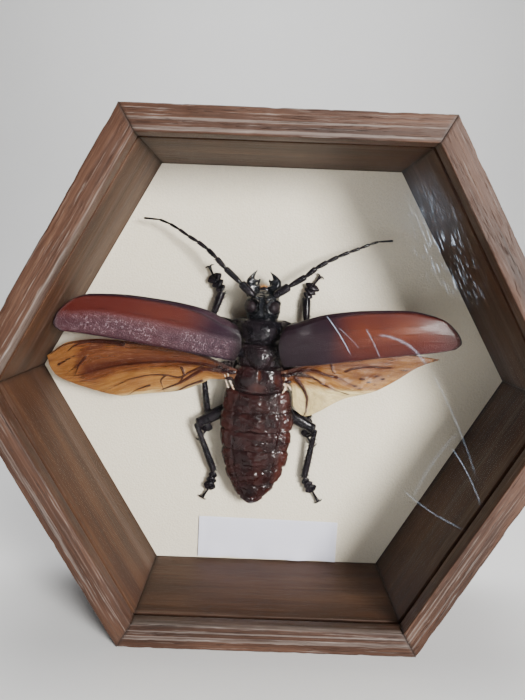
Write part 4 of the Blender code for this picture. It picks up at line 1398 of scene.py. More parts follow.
    def build_joint_skin(self) -> None:
        """Make the dark skin that joins the plates of the body inside their gaps."""
        clay = Clay()
        route = [Bend(MIDDLE, 36.0, 13.0, 6.2, 6.2), Bend(MIDDLE, 31.0, 12.6, 8.6, 6.6),
                 Bend(MIDDLE, 18.0, 12.4, 9.8, 7.4), Bend(MIDDLE, 6.0, 11.6, 10.8, 8.0),
                 Bend(MIDDLE, -9.5, 10.6, 13.6, 7.8), Bend(MIDDLE, -16.0, 10.0, 13.0, 7.0)]
        clay.tube(route, 48, 40)
        clay.piece("joint_skin", BLACK)

    def build(self) -> None:
        """Make every part of the body."""
        head = sections(
            (self.head_rear, 7.2, 6.4, 13.0, 19.2), (32.6, 8.5, 5.0, 13.0, 20.6),
            (36.0, 9.3, 4.3, 13.0, 22.0), (40.0, 9.5, 4.2, 12.8, 22.0), (43.0, 8.4, 4.8, 12.4, 20.6),
            (45.4, 6.2, 6.0, 12.0, 17.6), (47.4, 4.2, 8.2, 11.6, 13.8))
        prothorax = sections(
            (self.prothorax_rear, 10.6, 4.4, 12.5, 20.4), (19.0, 12.4, 3.0, 12.5, 22.0),
            (22.5, 13.3, 2.4, 12.8, 23.8), (27.0, 13.4, 2.4, 12.8, 24.0), (30.4, 12.8, 3.2, 12.8, 22.2),
            (self.head_rear, 11.4, 4.6, 12.8, 20.4))
        mesothorax = sections(
            (self.mesothorax_rear, 11.6, 2.6, 12.4, 20.2), (7.2, 12.6, 1.6, 12.4, 21.4),
            (12.0, 12.4, 1.8, 12.4, 21.8), (16.4, 12.4, 3.0, 12.6, 21.0),
            (self.prothorax_rear, 11.2, 4.4, 12.6, 19.8))
        metathorax = sections(
            (self.metathorax_rear, 14.4, 2.0, 12.0, 19.6), (-7.8, 15.4, 1.0, 12.4, 20.8),
            (-2.0, 15.2, 0.6, 12.8, 21.8), (4.2, 13.6, 1.2, 12.6, 21.4),
            (self.mesothorax_rear, 12.2, 2.4, 12.4, 20.2))
        abdomen = sections(
            (self.metathorax_rear - 0.3, 15.6, 2.2, 12.2, 18.8), (-11.4, 17.4, 0.9, 12.4, 19.0),
            (-25.0, 19.8, 0.8, 12.2, 18.8, 0.8), (-41.0, 18.7, 0.8, 11.4, 17.6, 1.0),
            (-54.5, 15.8, 0.9, 10.4, 15.8, 1.1), (-63.6, 12.0, 1.4, 9.2, 13.6, 0.6),
            (-70.6, 7.4, 2.6, 8.4, 11.8, 0.5), (-74.2, 3.4, 4.8, 8.0, 10.0, 0.1),
            (self.tip, 1.9, 6.2, 7.8, 8.9, 0.0))
        BodyPart("head", HEAD, head, self.head_relief, 200, 140).build()
        BodyPart("prothorax", BLACK, prothorax, self.pronotum_relief, 240, 150, squareness=1.0).build()
        BodyPart("mesothorax", SHIELD, mesothorax, self.mesothorax_relief).build(self.scutellum)
        BodyPart("metathorax", METANOTUM, metathorax, self.metathorax_relief, 180, 110).build()
        stations = self.abdomen_stations()
        rows = round((len(stations) - 1) * 2 / 0.9)
        part = BodyPart("abdomen", PLATE, abdomen, self.abdomen_relief, 220, rows, stations=stations)
        part.build()
        self.build_eyes()
        self.build_joint_skin()


@dataclass
class Jaws:
    """The two curved jaws with their teeth, and the hair between them."""

    height: float = 11.7
    outer: dict = field(default_factory=lambda: {
        Side.LEFT: ((-8.6, 43.2), (-9.2, 47.6), (-9.2, 51.6), (-7.4, 54.6), (-3.6, 58.0)),
        Side.RIGHT: ((9.2, 43.2), (10.0, 47.6), (9.8, 51.8), (7.8, 54.6), (3.4, 57.4)),
    })
    inner: dict = field(default_factory=lambda: {
        Side.LEFT: ((-1.6, 43.2), (-2.4, 47.0), (-3.9, 50.6), (-4.7, 53.8), (-3.5, 57.9)),
        Side.RIGHT: ((2.8, 43.2), (3.4, 46.8), (4.4, 50.4), (5.0, 53.4), (3.3, 57.3)),
    })
    teeth: tuple = ((0.38, 1.9, 0.060), (0.60, 2.1, 0.050))
    thickness: tuple = ((0.0, 3.4), (0.3, 3.2), (0.6, 2.2), (0.85, 1.2), (1.0, 0.15))
    palps: tuple = (((2.4, 45.0, 7.6, 0.9), (3.4, 48.0, 7.0, 0.75), (3.6, 50.4, 6.8, 0.95)),
                    ((3.6, 50.2, 6.8, 0.50), (3.1, 51.8, 6.7, 0.70), (2.5, 53.2, 6.7, 0.34)))
    palp_rows: tuple = (16, 14)
    hairs: int = 90

    def build_jaw(self, side: Side) -> None:
        """Make one jaw: a blade between its outer and inner edges, with teeth drawn out of it.

        Args:
            side: which side of the beetle it is on.
        """
        clay = Clay()
        outer, inner = self.outer[side], self.inner[side]

        def place(u: Array, v: Array) -> dict:
            """Return the jaw's points.

            Args:
                u: the grid's first shares.
                v: its second shares.

            Returns:
                The points, and any values by name.
            """
            turn = 2 * pi * u
            outside, inside = flow(outer, v), flow(inner, v)
            for share, length, width in self.teeth:
                bite = length * hump(v, share, width)
                inside[:, 0] -= side.value * bite
                inside[:, 1] += 0.15 * bite
            across = (1 - np.cos(turn)) / 2
            point = outside + (inside - outside) * across[:, None]
            thick = np.interp(v, *zip(*self.thickness))
            ends = np.tanh(12 * v)
            crown = np.abs(np.sin(turn)) ** 0.75 * (1 - 0.45 * across**2)
            ridge = 0.55 * hump(across, 0.30, 0.12) * (1 - v)
            z = self.height + np.sign(np.sin(turn)) * (thick * crown + ridge * np.abs(np.sin(turn))) * ends
            return {"co": np.stack((point[:, 0], point[:, 1], z), axis=1)}
        clay.patch(72, 110, place)
        clay.piece("mandible_" + side.word + "_shell", HEAD, ("mandible_" + side.word,))

    def build_mouth(self) -> None:
        """Make the upper lip between the jaws with its fringe of orange hair, and the palps."""
        lip = Clay()
        lip.ball((MIDDLE, 47.4, 11.6), (3.0, 1.9, 1.5), 28)
        for side in Side:
            for bends, rows in zip(self.palps, self.palp_rows):
                route = [(MIDDLE + side.value * x, y, z, half, half) for x, y, z, half in bends]
                lip.tube(route, 14, rows)
        lip.piece("mouth_parts", BLACK)
        rng = np.random.default_rng(7)
        hair = Clay()
        spans = ((-2.3, 2.3), (-0.35, 0.35), (0.1, 0.9), (1.2, 2.6))
        for x, lean, rise, length in zip(*[rng.uniform(low, high, self.hairs) for low, high in spans]):
            root = Vector((MIDDLE + x, 48.4 - 0.12 * x * x, 11.4 + rise))
            tip = root + Vector((lean + x * 0.12, 1.0, rise * 0.4 - 0.2)).normalized() * length
            hair.thorn(root, tip, 0.11, 4)
        hair.piece("lip_hair", HAIR)

    def build(self) -> None:
        """Make the jaws and the mouth parts."""
        for side in Side:
            self.build_jaw(side)
        self.build_mouth()


@dataclass
class Feelers:
    """The two jointed feelers."""

    joints: dict = field(default_factory=lambda: {
        Side.LEFT: ((-4.9, 44.3), (-11.9, 50.4), (-20.8, 57.8), (-25.7, 62.8), (-30.7, 67.2), (-36.3, 70.9),
                    (-41.5, 73.6), (-46.8, 76.9), (-52.0, 79.6), (-57.8, 81.6), (-66.6, 82.0)),
        Side.RIGHT: ((6.4, 44.7), (14.0, 50.2), (22.5, 55.9), (27.6, 60.6), (33.5, 64.3), (39.1, 67.4),
                     (45.0, 70.2), (50.7, 72.6), (56.0, 75.1), (60.7, 76.9), (69.0, 78.0)),
    })
    heights: tuple = (17.6, 8.0)
    halves: tuple = (1.9, 0.45)
    swell: tuple = ((-0.05, 0.55), (0.02, 0.66), (0.14, 0.86), (0.4, 1.08), (0.72, 1.22), (0.9, 1.24),
                    (0.965, 1.06), (1.02, 0.6))

    def bend(self, side: Side, rank: int) -> Array:
        """Return a joint's (x, y, z, half width, half height).

        Args:
            side: which side of the beetle it is on.
            rank: which joint it is, from the head.

        Returns:
            The joint's bend.
        """
        share = rank / (len(self.joints[side]) - 1)
        half = self.halves[0] + (self.halves[1] - self.halves[0]) * share**0.6
        z = self.heights[0] + (self.heights[1] - self.heights[0]) * share
        return np.array((*self.joints[side][rank], z, half, half))

    def build(self) -> None:
        """Make both feelers, one length after another, with teeth under the joints."""
        for side in Side:
            clay = Clay()
            for rank in range(len(self.joints[side]) - 1):
                near, far = self.bend(side, rank), self.bend(side, rank + 1)
                route = []
                for along, wide in self.swell:
                    bend = near + (far - near) * along
                    bend[3:] *= wide * (1.18 if rank == 0 else 1.0)
                    route.append(bend)
                clay.tube(route, 20, 36, blunt=0.03)
                if 1 < rank:
                    run = Vector(far[:3] - near[:3]).normalized()
                    out = Vector((-run.y, run.x, 0)) * -side.value
                    for share in (0.35, 0.6, 0.93):
                        root = Vector(near[:3] + (far[:3] - near[:3]) * share) + out * near[3] * 0.5
                        clay.thorn(root, root + (out * 0.8 + run * 0.6) * near[3] * 1.15, near[3] * 0.35, 6)
            nodes = tuple("antenna_" + side.word + part for part in ("_base", "_middle", "_tip"))
            clay.piece("feeler_" + side.word, BLACK, nodes)


# The legs


class Leg(NamedTuple):
    """A leg's joints as (x, y, z), the width of its thigh and shin, and where its foot ends."""

    coxa: tuple
    knee: tuple
    ankle: tuple
    pads: tuple
    foot: tuple
    thigh: float
    shin: float


LEGS = {
    "foreleg_left": Leg((-8, 23.5, 6.5), (-27.4, 29.6, 6.2), (-22.6, 45.0, 4.0),
                        (-28.2, 53.6, 2.4), (-30.6, 58.6, 1.6), 3.3, 2.0),
    "foreleg_right": Leg((9, 23.5, 6.5), (25.4, 29.0, 6.2), (24.6, 44.2, 4.0),
                         (28.2, 51.6, 2.4), (31.8, 56.8, 1.6), 3.3, 2.0),
    "midleg_left": Leg((-8, 5.0, 6.0), (-30.6, 0.6, 7.6), (-27.5, -25.0, 3.0),
                       (-28.0, -35.6, 1.7), (-31.8, -42.0, 1.5), 3.2, 1.7),
    "midleg_right": Leg((9, 5.0, 6.0), (31.6, -0.8, 7.6), (30.7, -24.4, 3.0),
                        (30.6, -35.6, 1.7), (34.8, -41.6, 1.5), 3.2, 1.7),
    "hindleg_left": Leg((-10, -17.0, 7.0), (-33.2, -30.6, 7.4), (-22.0, -59.4, 4.0),
                        (-24.8, -70.4, 2.4), (-28.4, -76.6, 1.6), 3.3, 1.8),
    "hindleg_right": Leg((11, -17.2, 7.0), (34.4, -30.2, 7.4), (30.5, -60.4, 4.0),
                         (36.0, -68.2, 2.4), (40.2, -75.0, 1.6), 3.3, 1.8),
}


def between(start: tuple, end: tuple, share: float) -> Array:
    """Return the point at a share of the way from start to end."""
    return np.array(start, float) + (np.array(end, float) - np.array(start, float)) * share


@dataclass
class Limbs:
    """The six legs: thigh, spined shin, and foot with lobed pads and hooked claws."""

    thigh_widths: tuple = ((0.0, 0.78), (0.18, 0.96), (0.45, 1.06), (0.7, 1.0), (0.86, 0.86), (0.94, 0.92),
                           (1.0, 0.72))
    shin_widths: tuple = ((-0.02, 0.72), (0.05, 0.84), (0.14, 0.80), (0.5, 0.94), (0.85, 1.04), (1.0, 0.92))
    pad_ends: tuple = ((-0.02, 0.34, 2.3), (0.27, 0.64, 2.8), (0.54, 1.02, 3.4))
    claw_bends: tuple = ((0.0, 1.2, 1.0), (0.3, 1.35, 1.0), (0.6, 1.6, 0.8), (0.85, 1.9, 0.5),
                         (1.0, 2.1, 0.12))
    last_joint: tuple = ((-0.12, 0.55), (0.2, 0.62), (0.6, 0.72), (0.9, 1.0), (1.02, 0.8))
    fore_pads: float = 1.58
    other_pads: float = 1.32
    claw_spread: float = radians(42)
    claw_length: float = 2.7
    spines: int = 9

    def build_thigh(self, name: str, leg: Leg) -> None:
        """Make a thigh from its coxa in the body to its knee.

        Args:
            name: the leg's name.
            leg: its joints and widths.
        """
        clay = Clay()
        route = [[*between(leg.coxa, leg.knee, share), leg.thigh * wide, leg.thigh * wide * 0.84]
                 for share, wide in self.thigh_widths]
        clay.tube(route, 32, 60, lambda turn, v: 1 + 0.05 * np.cos(2 * turn) * (1 - v), 0.06)
        clay.ball(leg.coxa, (leg.thigh * 1.15, leg.thigh * 1.15, leg.thigh * 1.1))
        clay.piece(name + "_thigh", BLACK, (name + "_femur",))

    def build_shin(self, name: str, leg: Leg, rng: np.random.Generator) -> None:
        """Make a shin with its rows of spines and the spurs at its end.

        Args:
            name: the leg's name.
            leg: its joints and widths.
            rng: where the chance in its spines comes from.
        """
        clay = Clay()
        route = np.array([[*between(leg.knee, leg.ankle, share), leg.shin * wide,
                           leg.shin * min(wide, 1.0) * 0.8] for share, wide in self.shin_widths])
        clay.tube(route, 28, 70, lambda turn, v: 1 + 0.06 * np.cos(4 * turn), 0.03)
        along = (Vector(leg.ankle) - Vector(leg.knee)).normalized()
        across = along.cross(Vector((0, 0, 1))).normalized()
        up = across.cross(along)
        shares = np.linspace(0.16, 0.92, self.spines)
        for turn in (0.0, pi, 0.6, pi - 0.6, -0.6, pi + 0.6):
            edge = abs(cos(turn)) > 0.99
            for share in shares + rng.uniform(-0.03, 0.03, self.spines):
                x, y, z, half, rise = flow(route, np.array([share]))[0]
                aside, above = across * cos(turn), up * float(np.sin(turn))
                out = aside + above
                root = Vector((x, y, z)) + aside * half * 0.7 + above * rise * 0.7
                length = half * 0.3 + (1.5 if edge else 0.9) * rng.uniform(0.7, 1.1)
                clay.thorn(root, root + (out + along * 0.75).normalized() * length, 0.42 if edge else 0.26)
        x, y, z, half, _ = flow(route, np.array([0.95]))[0]
        for side in (-1, 1):
            root = Vector((x, y, z)) + across * side * (half - 0.7)
            clay.thorn(root, root + (across * side * 0.5 + along).normalized() * 2.2, 0.5, 9)
        clay.piece(name + "_shin", BLACK, (name + "_tibia",))

    def pad(self, clay: Clay, leg: Leg, start: float, end: float, half: float) -> None:
        """Add one heart-shaped pad of a foot.

        Args:
            clay: the mesh that it is added to.
            leg: its joints and widths.
            start: where it starts, as a share of the foot.
            end: where it ends.
            half: its half width.
        """
        root, tip = between(leg.ankle, leg.pads, start), between(leg.ankle, leg.pads, end)
        run = tip - root
        length = float(np.linalg.norm(run))
        along = run / length
        across = np.cross(along, (0.0, 0.0, 1.0))
        up = np.cross(across, along)

        def place(u: Array, v: Array) -> dict:
            """Return the pad's points.

            Args:
                u: the grid's first shares.
                v: its second shares.

            Returns:
                The points, and any values by name.
            """
            turn = 2 * pi * u
            round_off = np.sqrt(np.clip(1 - (2 * v - 1) ** 2, 0, 1)) ** 0.7
            wide = half * (0.45 + 0.62 * v) * round_off
            side = np.cos(turn)
            lobe = hump(np.abs(side), 0.55, 0.35) * length * 0.24 * step(v, 0.5, 1.0)
            notch = hump(side, 0.0, 0.30) * length * 0.22 * step(v, 0.6, 1.0)
            forward = (v * length * 0.86 + lobe - notch)[:, None]
            drop = np.where(np.sin(turn) > 0, 0.95 - 0.35 * v, 0.7)
            lift = (np.sin(turn) * drop * round_off * half / 2.4)[:, None]
            return {"co": root + along * forward + across * (wide * side)[:, None] + up * lift}
        clay.patch(28, 22, place)

    def build_foot(self, name: str, leg: Leg) -> None:
        """Make a foot: three lobed pads, a slim last joint and two hooked claws.

        Args:
            name: the leg's name.
            leg: its joints and widths.
        """
        clay = Clay()
        spread = self.fore_pads if name.startswith("foreleg") else self.other_pads
        for start, end, half in self.pad_ends:
            self.pad(clay, leg, start, end, half * spread)
        last = [[*between(leg.pads, leg.foot, share), half, half * 0.9] for share, half in self.last_joint]
        clay.tube(last, 18, 30)
        along = Vector(leg.foot) - Vector(leg.pads)
        along = Vector((along.x, along.y, 0.0)).normalized()
        root = Vector(leg.foot) - along * 0.6
        for side in (-1, 1):
            route = []
            for share, turn, half in self.claw_bends:
                heading = Matrix.Rotation(side * self.claw_spread * turn, 3, "Z") @ along
                drop = Vector((0, 0, -0.5 * share * share))
                route.append([*(root + heading * self.claw_length * share + drop), 0.5 * half, 0.5 * half])
            clay.tube(route, 14, 30, blunt=0.08)
        clay.piece(name + "_foot", BLACK, (name + "_tarsus",))

    def build(self) -> None:
        """Make all six legs."""
        rng = np.random.default_rng(12)
        for name, leg in LEGS.items():
            self.build_thigh(name, leg)
            self.build_shin(name, leg, rng)
            self.build_foot(name, leg)


# The wings


@dataclass
class Vane:
    """A wing case or wing: its heights, arch and thickness, and its rails from front to rear."""

    root_z: float
    tip_z: float
    arch: float
    thickness: float
    rails: tuple

    def sheet(self, u: Array, v: Array) -> tuple:
        """Return where points lie round a thin closed sheet.

        Args:
            u: the share round the sheet's section, over its top and back under it.
            v: the share along it from its root.

        Returns:
            Flat points, heights, rank from front to rear, span from root to tip, and the half
            thickness with the sign of the face.
        """
        turn = 2 * pi * u
        rank = (1 - np.cos(turn)) / 2
        span = 0.5 - 0.5 * np.cos(pi * v)
        lines = np.stack([flow(rail, span)[:, :2] for rail in self.rails], axis=1)
        place = rank * (len(self.rails) - 1)
        index = np.clip(place.astype(int), 0, len(self.rails) - 2)
        t = (place - index)[:, None]
        rows = np.arange(len(u))
        near, far = lines[rows, index], lines[rows, index + 1]
        before = lines[rows, np.maximum(index - 1, 0)]
        after = lines[rows, np.minimum(index + 2, len(self.rails) - 1)]
        flat = cubic(t, near, far, (far - before) / 2, (after - near) / 2)
        reach = (np.abs(flat[:, 0]) - WING_ROOT) / WING_REACH
        height = self.root_z + (self.tip_z - self.root_z) * reach
        height = height + self.arch * (1 - span**4) * np.sin(pi * rank)
        rim = np.tanh(4 * np.abs(np.sin(turn))) * np.tanh(14 * np.sin(pi * v))
        half = np.sign(np.sin(turn)) * rim * self.thickness / 2
        return flat, height, rank, span, half


WING_CASES = {
    Side.LEFT: Vane(25.0, 33.0, 3.4, 1.0, (
        ((-13.6, 29.0), (-32.0, 36.6), (-52.6, 39.8), (-72.8, 41.2), (-87.7, 40.6), (-95.1, 38.4)),
        ((-13.2, 24.4), (-55.0, 33.0), (-84.0, 35.6), (-100.6, 34.2)),
        ((-12.8, 19.0), (-56.0, 27.0), (-84.0, 30.4), (-104.4, 29.6)),
        ((-12.6, 13.8), (-56.0, 20.8), (-84.0, 24.8), (-105.6, 24.0)),
        ((-12.8, 9.4), (-30.9, 11.8), (-51.7, 15.0), (-72.1, 17.8), (-92.3, 20.2), (-102.0, 20.9)),
    )),
    Side.RIGHT: Vane(25.0, 29.0, 3.4, 1.0, (
        ((14.2, 30.0), (35.6, 37.2), (56.1, 40.3), (76.6, 41.4), (88.0, 39.9), (94.0, 38.2)),
        ((13.6, 24.6), (55.0, 33.2), (82.0, 36.0), (98.6, 35.2)),
        ((13.2, 18.6), (56.0, 27.0), (84.0, 30.6), (103.0, 30.6)),
        ((13.2, 12.8), (56.0, 20.4), (84.0, 25.0), (104.6, 26.2)),
        ((13.6, 7.8), (32.4, 10.2), (53.1, 14.0), (73.7, 17.5), (94.0, 21.0), (101.6, 23.0)),
    )),
}
WINGS = {
    Side.LEFT: Vane(17.6, 14.0, 0.6, 0.30, (
        ((-8.0, 2.6), (-16.4, 5.4), (-30.0, 10.6), (-56.0, 14.6), (-84.9, 15.7), (-104.2, 12.7),
         (-116.0, 4.6)),
        ((-8.0, 1.6), (-16.4, 3.2), (-31.5, 6.2), (-58.7, 5.4), (-80.7, 1.6), (-100.0, -4.4),
         (-110.4, -6.2)),
        ((-8.0, 0.2), (-16.6, 1.0), (-30.0, 3.0), (-43.1, -1.0), (-58.5, -2.3), (-77.6, -9.0),
         (-88.0, -13.2)),
        ((-8.0, -1.2), (-17.0, -2.0), (-24.6, -2.4), (-30.9, -5.5), (-41.7, -9.9), (-63.7, -13.5),
         (-74.0, -15.4)),
    )),
    Side.RIGHT: Vane(17.6, 16.0, 0.6, 0.30, (
        ((9.0, 3.0), (17.4, 5.8), (30.0, 11.0), (50.0, 15.4), (72.0, 18.4), (98.6, 15.6)),
        ((9.0, 2.2), (17.4, 4.2), (30.0, 8.6), (52.3, 9.6), (71.3, 10.6), (86.7, 10.4)),
        ((9.0, 1.4), (17.6, 2.6), (30.6, 6.0), (45.3, 1.4), (53.7, -1.8), (67.0, -2.8)),
        ((9.0, 0.6), (17.6, 1.0), (26.0, -0.6), (38.0, -5.4), (47.0, -9.6)),
        ((9.0, -0.4), (17.6, -0.6), (22.6, -2.4), (26.6, -8.0), (28.4, -19.8)),
        ((9.0, -1.6), (17.6, -2.4), (19.0, -5.0), (19.6, -9.0), (20.4, -14.8)),
    )),
}

# Veins as (width, strength, points from the root) in millimetres
VEINS = {
    Side.LEFT: (
        (0.80, 1.0, ((-16.0, 4.6), (-30.0, 10.0), (-56.0, 13.9), (-84.9, 14.9), (-104.2, 11.9),
                     (-114.0, 5.6))),
        (0.95, 1.0, ((-16.5, 3.0), (-31.5, 5.8), (-45.1, 6.0), (-58.7, 4.7), (-69.7, 3.1), (-80.7, 0.7),
                     (-91.7, -2.9), (-100.0, -5.8))),
        (0.55, 0.8, ((-30.0, 4.4), (-36.5, 1.0), (-43.1, -2.6), (-50.3, -1.8), (-58.5, -2.4), (-69.4, -5.4),
                     (-77.6, -9.8), (-85.9, -14.4))),
        (1.30, 1.0, ((-18.0, 2.6), (-28.6, 3.0), (-33.9, 0.2), (-41.9, -5.4), (-51.6, -9.9))),
        (0.80, 0.9, ((-41.5, 3.0), (-40.2, -0.8), (-43.3, -6.6))),
        (0.55, 0.8, ((-94.4, 5.3), (-98.1, 0.6), (-100.2, -5.0), (-102.4, -7.4))),
        (0.50, 0.7, ((-109.6, -0.1), (-102.6, 4.2), (-98.2, 6.7))),
        (0.45, 0.5, ((-99.2, 0.0), (-103.5, -3.6), (-107.8, -8.3))),
        (0.40, 0.6, ((-58.6, -8.1), (-65.1, -10.7), (-72.0, -15.6))),
        (0.45, 0.6, ((-50.2, -2.0), (-52.6, -5.0), (-50.2, -11.5))),
        (0.70, 0.8, ((-30.0, -3.6), (-37.8, -6.8), (-44.2, -10.5), (-51.8, -12.1))),
        (1.20, 0.9, ((-74.0, 13.4), (-84.0, 14.2), (-91.9, 13.7), (-99.4, 11.7), (-104.0, 8.2))),
    ),
    Side.RIGHT: (
        (0.80, 1.0, ((17.0, 5.0), (30.0, 10.4), (50.0, 14.8), (72.0, 17.8), (94.0, 16.2))),
        (0.95, 1.0, ((17.0, 4.0), (24.5, 5.9), (31.0, 5.7), (36.6, 3.9), (45.0, 2.2), (51.8, -0.8),
                     (57.0, -3.4))),
        (0.60, 0.9, ((47.4, 6.2), (52.7, 8.2), (63.5, 9.7), (71.8, 9.3), (82.9, 8.2))),
        (0.60, 0.9, ((22.0, 3.0), (28.5, 2.3), (35.4, -1.2), (42.8, -4.7), (50.2, -6.4))),
        (0.50, 0.8, ((39.5, 9.6), (40.3, 6.3), (43.3, 3.2))),
        (0.45, 0.7, ((55.9, 2.8), (60.0, 1.2), (66.0, -1.1))),
        (0.45, 0.7, ((64.0, 4.4), (68.0, 3.2), (73.0, 1.8))),
        (1.10, 1.0, ((20.6, 1.2), (25.7, -5.4), (27.7, -10.8), (27.6, -16.4), (26.2, -20.4))),
        (0.45, 0.8, ((97.0, 17.8), (96.0, 15.6), (94.6, 14.6))),
    ),
}

# Brown folds of the membranes as (width, strength, points) in millimetres
FOLDS = {
    Side.LEFT: (
        (3.4, 1.0, ((-93.0, -2.2), (-86.0, 0.4), (-75.0, 3.8), (-62.0, 6.4), (-45.0, 7.4), (-28.0, 6.4))),
        (3.4, 0.45, ((-24.0, 6.0), (-45.0, 9.0), (-70.0, 9.0), (-96.0, 8.0))),
        (2.4, 0.85, ((-16.0, 2.0), (-28.6, 2.6), (-34.5, -0.6), (-42.0, -5.6))),
        (1.8, 0.80, ((-86.0, 12.6), (-94.0, 9.0), (-99.0, 2.0), (-101.0, -5.0))),
        (1.6, 0.60, ((-30.0, -4.0), (-40.0, -8.2), (-52.0, -12.0))),
    ),
    Side.RIGHT: (
        (2.2, 0.85, ((18.0, 3.6), (25.0, 5.6), (36.0, 3.8), (46.0, 1.4), (56.0, -3.0))),
        (2.0, 0.60, ((40.0, 8.8), (52.0, 9.6), (64.0, 10.6), (80.0, 10.6))),
        (1.6, 0.60, ((24.0, 2.6), (35.0, -1.0), (44.0, -5.0))),
        (1.8, 1.00, ((20.6, 1.2), (25.7, -5.4), (27.9, -10.8), (27.8, -16.4), (26.4, -20.4))),
        (1.6, 0.55, ((52.0, 3.6), (64.0, 4.2), (78.0, 7.0), (92.0, 14.0))),
    ),
}


